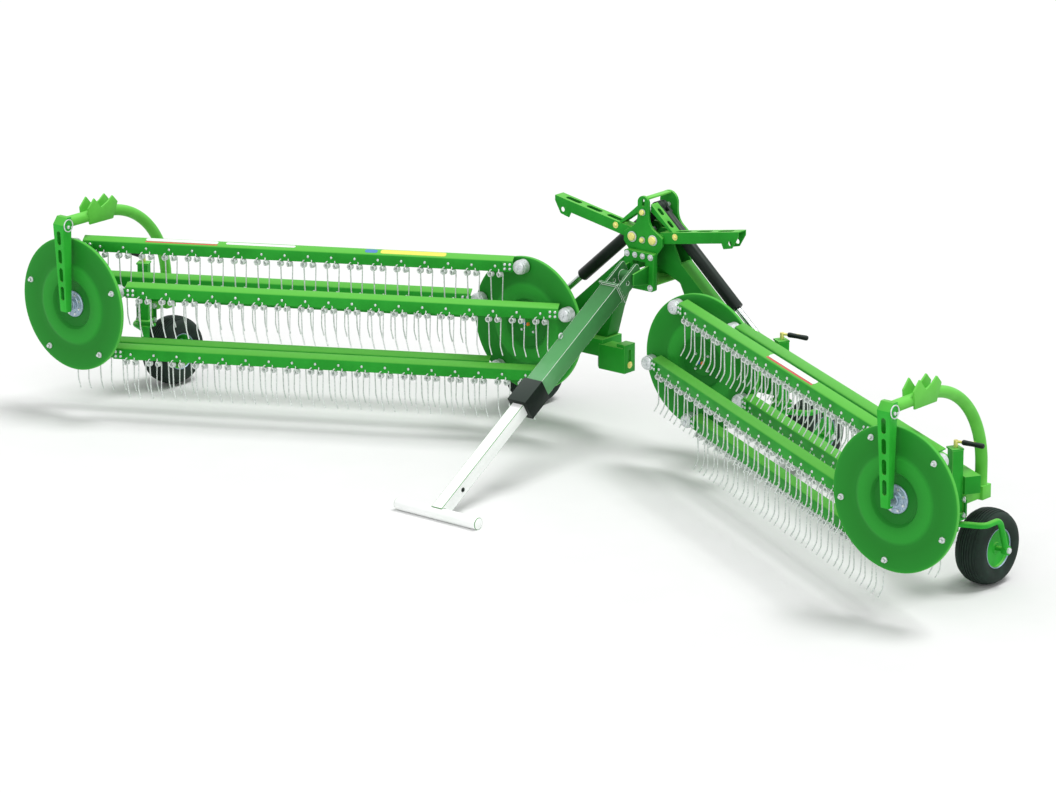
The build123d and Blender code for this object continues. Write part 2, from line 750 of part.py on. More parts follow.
def beam_point(along, across=0):
    """A point of the oblique beam's centre line, in plan."""
    back = POST_SIDE / 2 + BEAM_W / 2
    start = BAR_FRAME.to_local_coords(Vector(*POST_INNER, 0))
    place = BAR_FRAME.from_local_coords(Vector(start.X + along, start.Y + back + across, 0))
    return place.X, place.Y


def behind_posts(x, across):
    """Y at one X, on a line this far behind the posts' centres and parallel to the bars."""
    px = POST_OUTER[0] + across * BAR_FRAME.y_dir.X
    py = POST_OUTER[1] + across * BAR_FRAME.y_dir.Y
    return py + (x - px) * BAR_WAY.Y / BAR_WAY.X


def beam():
    """Foot beam along X with its box, the oblique beam, and the rod's lugs."""
    low = BEAM_TOP - BEAM_H
    body = block(FOOT_X, FOOT_Y, (low, BEAM_TOP))
    half = BEAM_W / 2
    start = -BEAM_BEFORE_POST
    end = POST_SPACING + BEAM_PAST_POST
    corners = [beam_point(start, -half), beam_point(end, -half), beam_point(end, half),
               beam_point(start, half)]
    body += plate_xy(corners, OBLIQUE_Z)
    body += foot_box()
    lug_low = BEAM_TOP - LUG_T
    lug = [
        (ROD_EYE_X - 1.5 * EYE_R, lug_low),
        (ROD_EYE_X + 2 * EYE_R, lug_low),
        (ROD_EYE_X + EYE_R, ROD_EYE_Z + EYE_R),
        (ROD_EYE_X - EYE_R, ROD_EYE_Z + EYE_R),
    ]
    for y in (CYL_Y - LUG_GAP - LUG_T, CYL_Y + LUG_GAP):
        body += plate_xz(lug, (y, y + LUG_T), LUG_T)
    return body


def foot_box():
    """Box at the beam's inner end, with a slotted end plate and a tab on top."""
    x0, x1 = BOX_X
    y0, y1 = BOX_Y
    low, top = BOX_Z
    plan = [
        (x0, y0),
        (x1 - BOX_CHAMFER, y0),
        (x1, y0 + BOX_CHAMFER),
        (x1, y1),
        (x0, y1),
    ]
    body = plate_xy(plan, (low, top))
    body += block((x0 - BOX_PLATE_T, x0), (y0, y1), (low, top + BOX_TAB[1]))
    body += block((x0, x0 + BOX_TAB[0]), (y0 + BOX_PLATE_T, y1), (top - 1, top + BOX_TAB[1]))
    middle = (y0 + y1) / 2
    slot_w, slot_h = BOX_SLOT
    body -= block((x0 - BOX_PLATE_T - 1, x0), (middle - slot_w / 2, middle + slot_w / 2),
                  (top - slot_h, top - BOX_PLATE_T))
    return body


def wheel_posts():
    """The two square posts with their plates, against the beam's front face."""
    posts = []
    for x, y in (POST_INNER, POST_OUTER):
        turn = Pos(x, y, 0) * Rot(0, 0, BAR_ANGLE)
        half = POST_SIDE / 2
        wide = POST_PLATE / 2
        post = block((-half, half), (-half, half - SEAT_GAP), (POST_LOW, POST_TOP))
        lap = half + POST_CAP_LAP
        top = block((-lap, lap), (-lap, half - SEAT_GAP), (POST_TOP, POST_TOP + POST_PLATE_T))
        low_z = (POST_LOW - POST_PLATE_T, POST_LOW)
        post += top
        post += plate_xy([(-wide, -wide), (wide, -wide), (wide, wide), (-wide, wide)], low_z, PLATE_CORNER)
        posts.append(turn * post)
    return posts


def cranks():
    """Height cranks on the posts: a boss, an arm and a grip round the arm's end."""
    solids = []
    for x, y in (POST_INNER, POST_OUTER):
        low = POST_TOP + POST_PLATE_T + SEAT_GAP
        top = low + CRANK_RISE
        crank = rod((x, y, low), (x, y, top + CRANK_R), CRANK_R * CRANK_BOSS)
        end = (x + CRANK_REACH, y + CRANK_SKEW, top)
        crank += rod((x, y, top), end, CRANK_R)
        crank += rod((end[0] - HANDLE_H, y + CRANK_SKEW / 2, top), end, HANDLE_R)
        solids.append(crank)
    return solids


def caster(post):
    """Swivel plate, stub, and the bent bar down the tyre's outer side to its axle."""
    x, y = post
    wide = POST_PLATE / 2
    plate_z = (CASTER_TOP - CASTER_PLATE_T, CASTER_TOP)
    corners = [(x - wide, y - wide), (x + wide, y - wide), (x + wide, y + wide), (x - wide, y + wide)]
    body = plate_xy(corners, plate_z, PLATE_CORNER)
    ring_top = POST_LOW - POST_PLATE_T - SEAT_GAP
    body += rod((x, y, CASTER_TOP - 1), (x, y, ring_top), RING_R)
    body += rod((x, y, STUB_LOW), (x, y, CASTER_TOP - 1), STUB_R)
    wheel_x = x + WHEEL_OFFSET
    axle_y = y + TRAIL
    arm_x = wheel_x + TYRE_W / 2 + CASTER_ARM_GAP + CASTER_ARM_R
    arm_z = STUB_LOW + CASTER_ARM_H
    path = FilletPolyline(
        (x, y, arm_z),
        (arm_x, y + CASTER_KNEE, arm_z),
        (arm_x, axle_y - CASTER_KNEE, arm_z),
        (arm_x, axle_y, TYRE_R),
        radius=CASTER_BEND_R,
    )
    start = Plane(origin=path @ 0, z_dir=path % 0)
    body += sweep(start * Circle(CASTER_ARM_R), path=path)
    boss = (arm_x - CASTER_ARM_R, arm_x + CASTER_ARM_R)
    body += rod((boss[0], axle_y, TYRE_R), (boss[1], axle_y, TYRE_R), STUB_R)
    hub_end = wheel_x - WHEEL_HUB_W / 2 + AXLE_INSET
    body += rod((boss[1], axle_y, TYRE_R), (hub_end, axle_y, TYRE_R), AXLE_R)
    return body


def wheel(post):
    """Tyre and rim, turning about X."""
    centre = (post[0] + WHEEL_OFFSET, post[1] + TRAIL, TYRE_R)
    half = TYRE_W / 2
    tyre_profile = [
        (RIM_R, -half),
        (TYRE_R, -half),
        (TYRE_R, half),
        (RIM_R, half),
    ]
    tyre = turned(tyre_profile, centre, (1, 0, 0))
    seat = RIM_R - SEAT_GAP
    barrel_r = seat - RIM_T
    hub_half = WHEEL_HUB_W / 2
    rim_profile = [
        (AXLE_R + RUN_GAP, -hub_half),
        (WHEEL_HUB_R, -hub_half),
        (WHEEL_HUB_R, RIM_DISC_X),
        (barrel_r, RIM_DISC_X),
        (barrel_r, -half + RIM_INSET),
        (seat, -half + RIM_INSET),
        (seat, half - RIM_INSET),
        (barrel_r, half - RIM_INSET),
        (barrel_r, RIM_DISC_X + RIM_DISC_T),
        (WHEEL_HUB_R, RIM_DISC_X + RIM_DISC_T),
        (WHEEL_HUB_R, hub_half),
        (AXLE_R + RUN_GAP, hub_half),
    ]
    rim = turned(rim_profile, centre, (1, 0, 0))
    return tyre, rim


def gooseneck():
    """Block behind the outer post and the tube that arches forward over the reel."""
    x = GOOSE_X
    half = GOOSE_BASE_SIDE / 2
    block_y = (GOOSE_BASE_Y - half, GOOSE_BASE_Y + half)
    body = block((x - half, x + half), block_y, GOOSE_BASE_Z)
    low = GOOSE_BASE_Z[0] + GOOSE_R
    bend_low = GOOSE_TOP_Z - GOOSE_BEND_R
    bend_end = GOOSE_BASE_Y - GOOSE_BEND_R
    body += rod((x, GOOSE_BASE_Y, low), (x, GOOSE_BASE_Y, bend_low), GOOSE_R)
    foot = Plane(origin=(x, GOOSE_BASE_Y, bend_low), z_dir=(0, 0, 1)) * Circle(GOOSE_R)
    body += revolve(foot, axis=Axis((x, bend_end, bend_low), (1, 0, 0)), revolution_arc=90)
    end = (x, LINK_Y_BACK - LINK_DEPTH_LOW / 2, GOOSE_TOP_Z)
    body += rod((x, bend_end, GOOSE_TOP_Z), end, GOOSE_R)
    seat = POST_SIDE / 2
    depth = seat + CLAMP_T / 2
    stub = [
        (x - STUB_HALF, block_y[0] + CLAMP_T),
        (x + STUB_HALF, block_y[0] + CLAMP_T),
        (x + STUB_HALF, behind_posts(x + STUB_HALF, depth)),
        (x - STUB_HALF, behind_posts(x - STUB_HALF, depth)),
    ]
    body += plate_xy(stub, STUB_Z)
    clamp = block((-CLAMP_HALF, CLAMP_HALF), (seat, seat + CLAMP_T), CLAMP_Z)
    body += Pos(*POST_OUTER, 0) * Rot(0, 0, BAR_ANGLE) * clamp
    return body + catch_plates()


def catch_plates():
    """Two cheeks on the tube's sides, with prongs that hold the folded neighbour."""
    y0, y1 = CATCH_Y
    top = GOOSE_TOP_Z + CATCH_H
    valley = GOOSE_TOP_Z + GOOSE_R + CATCH_T
    outline = [
        (y0, GOOSE_TOP_Z - CATCH_LOW),
        (y1, GOOSE_TOP_Z - CATCH_LOW),
        (y1 + CATCH_LOW, GOOSE_TOP_Z + CATCH_H / 2),
        (y1, top - CATCH_T),
        (y1 - CATCH_LOW, top - CATCH_LOW),
        ((y0 + y1) / 2, valley),
        (y0 + CATCH_LOW, top),
        (y0 - CATCH_T, valley + CATCH_T),
    ]
    inner = GOOSE_R - CATCH_LAP
    right = plate_yz(outline, (GOOSE_X + inner, GOOSE_X + inner + CATCH_T))
    left = plate_yz(outline, (GOOSE_X - inner - CATCH_T, GOOSE_X - inner))
    return right + left


def hub_link():
    """Folded channel, its web slotted, from the gooseneck's end down to the outer disc's hub."""
    back = LINK_Y_BACK
    foot = REEL_Z - LINK_LOW_DROP
    top = GOOSE_TOP_Z + GOOSE_R + LINK_WALL
    side = [
        (back, foot),
        (back - LINK_DEPTH_LOW, foot),
        (back - LINK_DEPTH_TOP, LINK_WEB_TOP),
        (back - LINK_DEPTH_TOP / 2, top),
        (back, top),
    ]
    width = [
        (GOOSE_X - LINK_HALF_LOW, foot),
        (GOOSE_X + LINK_HALF_LOW, foot),
        (GOOSE_X + LINK_HALF_TOP + LINK_WALL, top),
        (GOOSE_X - LINK_HALF_TOP - LINK_WALL, top),
    ]
    body = plate_yz(side, (GOOSE_X - 2 * LINK_HALF_TOP, GOOSE_X + 2 * LINK_HALF_TOP), LINK_WALL)
    body &= plate_xz(width, (back - 2 * LINK_DEPTH_TOP, back + 1))
    low = REEL_Z + SHAFT_R + LINK_WALL
    high = GOOSE_TOP_Z - GOOSE_R - LINK_WALL
    inner_low = LINK_HALF_LOW - LINK_WALL
    inner_top = LINK_HALF_TOP - LINK_WALL
    hollow = plate_yz([
        (back + 1, low),
        (back - LINK_DEPTH_LOW + LINK_WALL, low),
        (back - LINK_DEPTH_TOP + LINK_WALL, high),
        (back + 1, high),
    ], (GOOSE_X - LINK_HALF_TOP, GOOSE_X + LINK_HALF_TOP))
    body -= hollow & plate_xz([
        (GOOSE_X - inner_low, low),
        (GOOSE_X + inner_low, low),
        (GOOSE_X + inner_top, high),
        (GOOSE_X - inner_top, high),
    ], (back - LINK_DEPTH_TOP, back + 2))
    height, slot_w = LINK_SLOT
    for i in range(LINK_SLOTS):
        z = REEL_Z + LINK_SLOT_START + i * LINK_SLOT_PITCH
        face = Pos(GOOSE_X, back - LINK_DEPTH_TOP, z) * Rot(90, 0, 0) * Rot(0, 0, 90)
        body -= face * extrude(SlotOverall(height, slot_w), amount=LINK_DEPTH_TOP / 2, both=True)
    shaft_end = back - LINK_DEPTH_LOW / 2 - PIN_END_GAP
    body -= rod((DISC_X_OUTER, back + 1, REEL_Z), (DISC_X_OUTER, shaft_end, REEL_Z), SHAFT_R + RUN_GAP)
    body -= rod((GOOSE_X, back + 1, GOOSE_TOP_Z), (GOOSE_X, shaft_end, GOOSE_TOP_Z), GOOSE_R + RUN_GAP)
    return body


# The cylinder's line at rest, from the top bolt to the rod's eye
ROD_RUN = Vector(ROD_EYE_X, 0, ROD_EYE_Z - CYL_PIN_Z)
CYL_LENGTH = ROD_RUN.length


def on_cylinder(distance):
    """A point on the cylinder's axis at a distance from the top bolt."""
    way = ROD_RUN.normalized()
    return (way.X * distance, CYL_Y, CYL_PIN_Z + way.Z * distance)


def barrel(side):
    """Barrel with a fork eye on the right and a tongue eye on the left."""
    body = rod(on_cylinder(BARREL_START), on_cylinder(BARREL_END), BARREL_R)
    half = EYE_W / 2
    if side == "left":
        ears = [(CYL_Y - half, CYL_Y + half)]
    else:
        gap = half + EYE_GAP
        reach = BARREL_R - BARREL_SKIN
        ears = [(CYL_Y - reach, CYL_Y - gap), (CYL_Y + gap, CYL_Y + reach)]
    way = ROD_RUN.normalized()
    for y in ears:
        ear = rod((0, y[0], CYL_PIN_Z), (0, y[1], CYL_PIN_Z), EYE_R)
        tip = on_cylinder(BARREL_START + NECK_START)
        side_x = -way.Z * EYE_R * NECK_SHARE
        side_z = way.X * EYE_R * NECK_SHARE
        neck = [(side_x, CYL_PIN_Z + side_z), (tip[0] + side_x, tip[2] + side_z),
                (tip[0] - side_x, tip[2] - side_z), (-side_x, CYL_PIN_Z - side_z)]
        body += ear + plate_xz(neck, y)
    across = (CYL_Y - 2 * BARREL_R, CYL_Y + 2 * BARREL_R)
    body -= rod((0, across[0], CYL_PIN_Z), (0, across[1], CYL_PIN_Z), CYL_PIN_R + RUN_GAP)
    stroke = CYL_LENGTH - folded_length()
    depth = BARREL_END - ROD_INSIDE - stroke - BORE_SPARE
    body -= rod(on_cylinder(depth), on_cylinder(BARREL_END + 1), ROD_R + RUN_GAP)
    return body


def folded_length():
    """Bolt to rod eye when the arm is folded right up."""
    turn = radians(FOLD)
    x = ROD_EYE_X - ARM_PIN_X
    z = ROD_EYE_Z - ARM_PIN_Z
    up_x = ARM_PIN_X + x * cos(turn) - z * sin(turn)
    up_z = ARM_PIN_Z + x * sin(turn) + z * cos(turn)
    return hypot(up_x, up_z - CYL_PIN_Z)


def cylinder_rod():
    """Rod with the eye that sits between the beam's lugs."""
    body = rod(on_cylinder(BARREL_END - ROD_INSIDE), on_cylinder(CYL_LENGTH - 10), ROD_R)
    half = EYE_W / 2
    body += rod((ROD_EYE_X, CYL_Y - half, ROD_EYE_Z), (ROD_EYE_X, CYL_Y + half, ROD_EYE_Z), EYE_R - 6)
    return body


LEG_UP = Vector(0, cos(radians(LEG_SLOPE)), sin(radians(LEG_SLOPE)))
LEG_FOOT = Vector(0, FOOT_TUBE_Y, FOOT_TUBE_R)


def leg_box(side, start, end, wall=0):
    """A square tube on the leg's axis between two distances from the foot."""
    origin = LEG_FOOT + LEG_UP * start
    frame = Plane(origin=origin, x_dir=(1, 0, 0), z_dir=LEG_UP)
    face = Rectangle(side, side)
    if wall:
        face -= Rectangle(side - 2 * wall, side - 2 * wall)
    return extrude(frame * face, amount=end - start)


def leg_tube():
    """Outer tube with its flange, the lugs and the cross tube on the pivot."""
    body = leg_box(LEG_OUTER, COLLAR_S[1], LEG_TOP_S, LEG_WALL)
    body += leg_box(LEG_OUTER + 2 * LEG_FLANGE_LAP, LEG_TOP_S, LEG_TOP_S + LEG_FLANGE_T)
    py, pz = LEG_PIVOT
    cross = rod((-LEG_TUBE_HALF, py, pz), (LEG_TUBE_HALF, py, pz), LEG_TUBE_R)
    end = LEG_FOOT + LEG_UP * (LEG_TOP_S + LEG_FLANGE_T - SLIDE_GAP)
    past = LEG_FOOT + LEG_UP * (LEG_TOP_S + LEG_TOP_GAP + LUG_HALF)
    drop = Vector(0, LEG_UP.Z, -LEG_UP.Y)
    corners = [end - drop * LUG_HALF, end + drop * 1.3 * LUG_HALF, past + drop * 1.3 * LUG_HALF,
               past - drop * LUG_HALF]
    lug = [(corner.Y, corner.Z) for corner in corners]
    for x in (-LEG_TUBE_HALF, LEG_TUBE_HALF - LUG_PLATE_T):
        cross += plate_yz(lug, (x, x + LUG_PLATE_T), PLATE_CORNER)
    body += cross
    reach = 2 * LEG_TUBE_HALF
    body -= rod((-reach, py, pz), (reach, py, pz), LEG_PIVOT_R + RUN_GAP)
    hole = LEG_FOOT + LEG_UP * (LEG_TOP_S + LEG_TOP_GAP / 2)
    body -= rod((-reach, hole.Y, hole.Z), (reach, hole.Y, hole.Z), LUG_HOLE_R)
    return body


def leg_collar():
    """Black guide at the outer tube's mouth."""
    body = leg_box(COLLAR_SIDE, *COLLAR_S)
    return body - leg_box(LEG_INNER + 2 * SLIDE_GAP, COLLAR_S[0] - 1, COLLAR_S[1] + 1)


def foot_tube(extra=0):
    """The cross tube that stands on the ground."""
    start = (-FOOT_TUBE_HALF, FOOT_TUBE_Y, FOOT_TUBE_R)
    return rod(start, (FOOT_TUBE_HALF, FOOT_TUBE_Y, FOOT_TUBE_R), FOOT_TUBE_R + extra)


def leg_slide():
    """Inner tube, coped round the foot tube."""
    return leg_box(LEG_INNER, LEG_SLIDE_START, LEG_INNER_TOP_S) - foot_tube(SEAT_GAP)


def leg_bracket():
    """Two cheeks and the pin that the leg hangs on, standing on the hitch plate."""
    py, pz = LEG_PIVOT
    front = MAST_FRONT[0] - HITCH_T
    nose_y = py - 2 * LEG_PIVOT_R
    nose = CHEEK_NOSE / 2
    outline = [(front, pz + CHEEK_H / 2), (front, pz - CHEEK_H / 2), (nose_y, pz - nose), (nose_y, pz + nose)]
    body = rod((-BRACKET_HALF - CHEEK_T, py, pz), (BRACKET_HALF + CHEEK_T, py, pz), LEG_PIVOT_R)
    for x in (-BRACKET_HALF - CHEEK_T, BRACKET_HALF):
        body += plate_yz(outline, (x, x + CHEEK_T))
    return body


def build_mast():
    """Everything that is fixed to the mast."""
    save("mast_front_plate", mast_front_plate())
    save("mast_rear_plate", mast_rear_plate())
    save("mast_bridge", *mast_bridge())
    save("hitch_plate", hitch_plate())
    save("mast_pins", *mast_pins())
    save("leg_bracket", leg_bracket())
    for side in ("left", "right"):
        save(f"lock_arm_{side}", mirrored(lock_arm(), side))


def build_side(side):
    """One folding arm with its reel, wheels and cylinder."""
    phase = PIN_PHASE[side]
    table = [
        ("swan_neck", [swan_neck()]),
        ("beam", [beam()]),
        ("wheel_posts", wheel_posts()),
        ("cranks", cranks()),
        ("reel_bearing", [reel_bearing()]),
        ("gooseneck", [gooseneck()]),
        ("hub_link", [hub_link()]),
        ("barrel", [barrel(side)]),
        ("rod", [cylinder_rod()]),
        ("disc_inner", [inner_disc(phase)]),
        ("disc_outer", [outer_disc(phase)]),
    ]
    for name, shapes in table:
        save(f"{name}_{side}", *[mirrored(shape, side) for shape in shapes])
    bar = tine_bar()
    for number, (dx, dz) in enumerate(pin_centres(phase), 1):
        place = Pos(DISC_X_INNER + dx, -PIN_OFFSET, REEL_Z + dz)
        save(f"tine_bar_{side}_{number}", mirrored(place * bar, side))
    for place, post in (("inner", POST_INNER), ("outer", POST_OUTER)):
        tyre, rim = wheel(post)
        save(f"caster_{place}_{side}", mirrored(caster(post), side))
        save(f"tyre_{place}_{side}", mirrored(tyre, side))
        save(f"rim_{place}_{side}", mirrored(rim, side))


def build_leg():
    """The telescopic parking leg."""
    save("leg_tube", leg_tube())
    save("leg_collar", leg_collar())
    save("leg_slide", leg_slide())
    save("leg_foot", foot_tube())


os.makedirs("parts", exist_ok=True)
build_mast()
for name in ("left", "right"):
    build_side(name)
build_leg()
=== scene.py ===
"""Finish of the basket hay rake: paint, wire tines, fasteners, tyres, decals and light.

Metres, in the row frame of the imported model: +Z up, the parking leg points to -Y.
"""
import json
from math import cos, pi, radians, sin

import bmesh
import bpy
from mathutils import Matrix, Vector


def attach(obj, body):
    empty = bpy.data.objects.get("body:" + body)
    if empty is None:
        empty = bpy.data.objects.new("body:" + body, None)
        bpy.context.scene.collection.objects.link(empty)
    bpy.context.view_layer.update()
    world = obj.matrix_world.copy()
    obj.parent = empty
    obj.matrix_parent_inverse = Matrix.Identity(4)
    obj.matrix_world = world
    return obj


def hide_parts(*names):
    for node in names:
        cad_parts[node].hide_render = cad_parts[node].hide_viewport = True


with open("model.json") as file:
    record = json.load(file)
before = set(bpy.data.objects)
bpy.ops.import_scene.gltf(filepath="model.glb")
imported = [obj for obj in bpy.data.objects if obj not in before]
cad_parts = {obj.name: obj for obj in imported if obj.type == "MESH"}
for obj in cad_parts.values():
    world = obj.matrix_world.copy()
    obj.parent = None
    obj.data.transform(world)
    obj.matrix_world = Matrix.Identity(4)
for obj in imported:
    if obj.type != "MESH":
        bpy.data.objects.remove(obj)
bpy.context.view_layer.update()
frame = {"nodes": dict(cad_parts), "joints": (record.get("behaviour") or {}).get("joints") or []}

SIDES = (("left", -1), ("right", 1))                # name, and k, the side's sign along X
JOINTS = {joint["name"]: joint for joint in frame["joints"]}
REEL_Y = JOINTS["reel_right_spin"]["pos_m"][1]      # the inner discs' plane

# Mesh finish
WELD = 2e-5                     # the CAD node's corners closer than this are one
FLAT_TURN = radians(0.6)        # faces that turn by less are one flat face
EDGE_TURN = radians(28)         # edges of the CAD node that turn by more are softened
CRISP_TURN = 32                 # degrees; edges that turn by more stay crisp in the shading
TURNED_CRISP_TURN = 26          # the same on the turned hubs
FINE_EDGE = 0.0015
PLATE_EDGE = 0.0025
# Bevel that carries the painted shade line along the leg's slide and foot
SHADE_LINE_EDGE = 0.003
TUBE_EDGE = 0.004

# Tine bars: a steel angle with a bracket plate and a round hub at each end
TINES = 18
TINE_PITCH = 0.150
FIRST_TINE = 0.162
FLANGE_H = 0.070
FLANGE_T = 0.006
TOP_FLANGE_W = 0.062
TOP_TILT = radians(20)
TOP_REAR = 5                    # section points at the rear and front of the upper face
TOP_FRONT = 6
ANGLE_EDGE = 0.0012
ANGLE_TURN = radians(40)        # edges of the angle and bracket that turn by more are softened
BAR_START = 0.050
BRACKET_L = 0.118
BRACKET_START = 0.020
BRACKET_TAPER = 0.030
BRACKET_HALF = 0.026
BRACKET_NOSE_HALF = 0.018
BRACKET_FRONT = -1.5 * FLANGE_T
BRACKET_GAP = 0.0003            # keeps the bracket's face off the angle's
BRACKET_BOLTS_ALONG = (0.068, 0.100)
BRACKET_BOLTS_UP = (-0.014, 0.014)
HUB_R = 0.046
HUB_WIDTH = 0.076

# Double tines: two coils and two hooked legs, and a loop clamped behind the flange
WIRE_R = 0.0042
WIRE_ROUNDING = 1               # bevel resolution, kept low because there are many tines
COIL_OUT = 0.028                # bolt to coil centre, along the bar
COIL_R = 0.015                  # to the middle of the wire
COIL_DROP = 0.055
COIL_TURNS = 3.3
COIL_STEPS = 10                 # points in a turn
COIL_PITCH = 2.25 * WIRE_R      # one turn to the next
LEG_NARROWS = 0.006             # the legs close towards their bend
BEND_DROP = 0.230
TIP_DROP = 0.285
TIP_HOOK = 0.028
LOOP_BACK = 0.012
LOOP_LOW = (0.010, -0.010)      # half width and height at the loop's ends
LOOP_HIGH = (0.008, 0.006)      # the same at its top
LOOP_START_UP = 0.012           # above the coils' first points
LOOP_START_BACK = 0.4           # share of the way back

# Discs
DISC_R = 0.430
DISC_PLATE = 0.006
DISC_LIP_POINTS = 3             # last points of the front face, which make the lip
DISC_SIDES = 128
PINS = 5
PIN_SEAT = 0.003                # the disc's middle plane to where a pin's collar seats
RING_OUTER_R = 0.268
RING_INNER_R = 0.165
DISC_HUB_BACK = 0.011           # the hub flange sits in the recess
DISC_HUB_BOLT_R = 0.066
INNER_HUB_SHARE = 0.5           # the inner disc's flange stands out half as far
CAP_OUT = -0.017                # from the flange's seat to the front
CAPS = (("blue", -0.015), ("orange", 0.013))        # name, and shift along X

# Wheels
RIM_R = 0.120
TYRE_HALF = 0.100
TREAD_R = 0.2245
TREAD_ROUND = 0.008             # the outer ribs lie this far below the middle one
TREAD_RIBS = 7
GROOVE = 0.006
SHOULDER_W = 0.040
WHEEL_NUTS = 5
WHEEL_NUT_CIRCLE = 0.072
WHEEL_NUT_X = -0.050
AXLE_CAP_X = 0.150

# Fittings of the mast and the leg, as millimetres for at()
MAST_FACES = ((277.7, -1), (569.3, 1))      # the pins' outer ends, front and rear
MAST_PINS = ((-81, 1340, 27), (81, 1340, 27), (0, 1507, 18), (0, 1330, 17))     # x, z, radius
HITCH_FACE_Y = 246
HITCH_MIDDLE_Z = 1141
HITCH_BOLT_HALF = (92, 98)                  # half spacings across and up
HITCH_TOP_BOLTS = (30, 1238)                # half spacing and height
LOCK_BOLTS = (234, 310, 1382)               # the right one; the left one mirrors it
LEG_CROSS_BOLT = (42, -1499, 150)           # its right end; the left one mirrors it
LEG_EYE = (-40, -468, 868)
LEG_EYE_R = 0.016                           # metres, as is the wire's
LEG_EYE_WIRE_R = 0.0055

# Fittings of the arms
BOX_BOLT = (171, 379, 470)                  # millimetres for at(), right side
CLAMP_BACK = 0.036
CLAMP_T = 0.012
CLAMP_HALF = 0.066
CLAMP_UP = (-0.034, 0.100)
CLAMP_CORNER = 0.018
CLAMP_BOLTS_ALONG = (-0.052, 0.052)
CLAMP_BOLTS_UP = (-0.014, 0.080)
CRANK_UP = 0.4163                           # caster's swivel to the crank's handle
GRIP_PLACE = (0.040, 0.008)                 # outward and to the rear
GRIP_SKEW = 0.08
LINK_PIN = (3203, -1564, 1258)              # millimetres for at(), right side
LINK_PIN_HALF = 0.052
LINK_RING_R = 0.038
LINK_RING_WIRE_R = 0.004
LINK_RING_INSET = 0.003
LINK_RING_UP = 0.010
LINK_RING_SKEW = 0.06

# Films on the top bars
LABEL_BAR = 2                   # the bar that is on top at rest
LABEL_LIFT = 0.0008
LABEL_CORNER_R = 0.016
LABEL_ROUND = 0.48              # most that a corner takes of a film's width
LABEL_CORNER_STEPS = 6

# Parking leg's outer tube: where its paint is palest, and where it is full green
LEG_PALE_Y = REEL_Y - 0.98
LEG_GREEN_Y = REEL_Y - 0.06

# Sizes of the finishes' patterns, in millimetres. Orange peel, plating and rubber grain and the
# rod's grinding are finer on the real machine, and are drawn this coarse so that they show.
CLOUD_MM = 260
DISC_CLOUD_MM = 420
GRAIN_MM = 38
PEEL_MM = 5
LEG_WEAR_MM = 70
LEG_PEEL_MM = 6
PLATING_MOTTLE_MM = 9
PLATING_GRAIN_MM = 3
RUBBER_DUST_MM = 55
RUBBER_GRAIN_MM = 2.5
GRINDING_MM = 12
FILM_RIPPLE_MM = 45
FLOOR_CLOUD_MM = 400
ENAMEL_SHINE = {"Specular IOR Level": 0.12}

# Stage, lamps and camera
FLOOR_HALF = 60
WORLD_LIGHT = 0.55              # what the world gives the object; the camera sees white
KEY = (1.8, 22, (-13, 14))      # strength, spread and tilts in degrees
FILL = (0.8, 60, (48, 30))
SENSOR = 36                     # millimetres, as the lens
LENS = 180.4
FAR_CLIP = 200
AZIMUTH = radians(39.501)
ELEVATION = radians(16.585)
EYE = (19.6275, -24.6418 + REEL_Y, 9.767)


# Colours and node helpers
def srgb(code):
    """A hex colour such as #40a048 as linear red, green, blue and alpha."""
    channels = [int(code[i:i + 2], 16) / 255 for i in (1, 3, 5)]
    linear = [c / 12.92 if c <= 0.04045 else ((c + 0.055) / 1.055) ** 2.4 for c in channels]
    return (*linear, 1.0)


def add(tree, kind, inputs=None, **settings):
    """Adds a node, sets its properties, and fills or links its inputs."""
    node = tree.nodes.new(kind)
    for name, value in settings.items():
        setattr(node, name, value)
    for name, value in (inputs or {}).items():
        if isinstance(value, bpy.types.NodeSocket):
            tree.links.new(value, node.inputs[name])
        else:
            node.inputs[name].default_value = value
    return node


def ramp(tree, factor, stops):
    """A colour ramp over (position, hex colour) stops."""
    node = add(tree, "ShaderNodeValToRGB", {"Fac": factor})
    elements = node.color_ramp.elements
    while len(elements) < len(stops):
        elements.new(0.5)
    for element, (place, code) in zip(elements, stops):
        element.position = place
        element.color = srgb(code)
    return node.outputs["Color"]


def grey_range(tree, factor, low, high):
    """Maps a pattern from 0..1 to low..high."""
    node = add(tree, "ShaderNodeMapRange", {"Value": factor, "To Min": low, "To Max": high})
    return node.outputs["Result"]


def per_metre(size_mm):
    """Noise scale, in features per metre, for a feature of that many millimetres."""
    return 1000 / size_mm


def surface(name, metallic=0.0, **sockets):
    """A new material; returns it with its tree, its shader and its object coordinates."""
    material = bpy.data.materials.new(name)
    material.use_nodes = True
    tree = material.node_tree
    tree.nodes.clear()
    shader = add(tree, "ShaderNodeBsdfPrincipled", {"Metallic": metallic, **sockets})
    add(tree, "ShaderNodeOutputMaterial", {"Surface": shader.outputs["BSDF"]})
    place = add(tree, "ShaderNodeTexCoord").outputs["Object"]
    return material, tree, shader, place


def noise(tree, place, size_mm, detail=4.0, roughness=0.55):
    """Noise with features of about that size."""
    inputs = {"Vector": place, "Scale": per_metre(size_mm), "Detail": detail, "Roughness": roughness}
    return add(tree, "ShaderNodeTexNoise", inputs).outputs["Fac"]


def bump(tree, shader, height, depth_mm, strength=0.5):
    """Bump of that depth on the shader."""
    inputs = {"Height": height, "Distance": depth_mm / 1000, "Strength": strength}
    node = add(tree, "ShaderNodeBump", inputs)
    tree.links.new(node.outputs["Normal"], shader.inputs["Normal"])


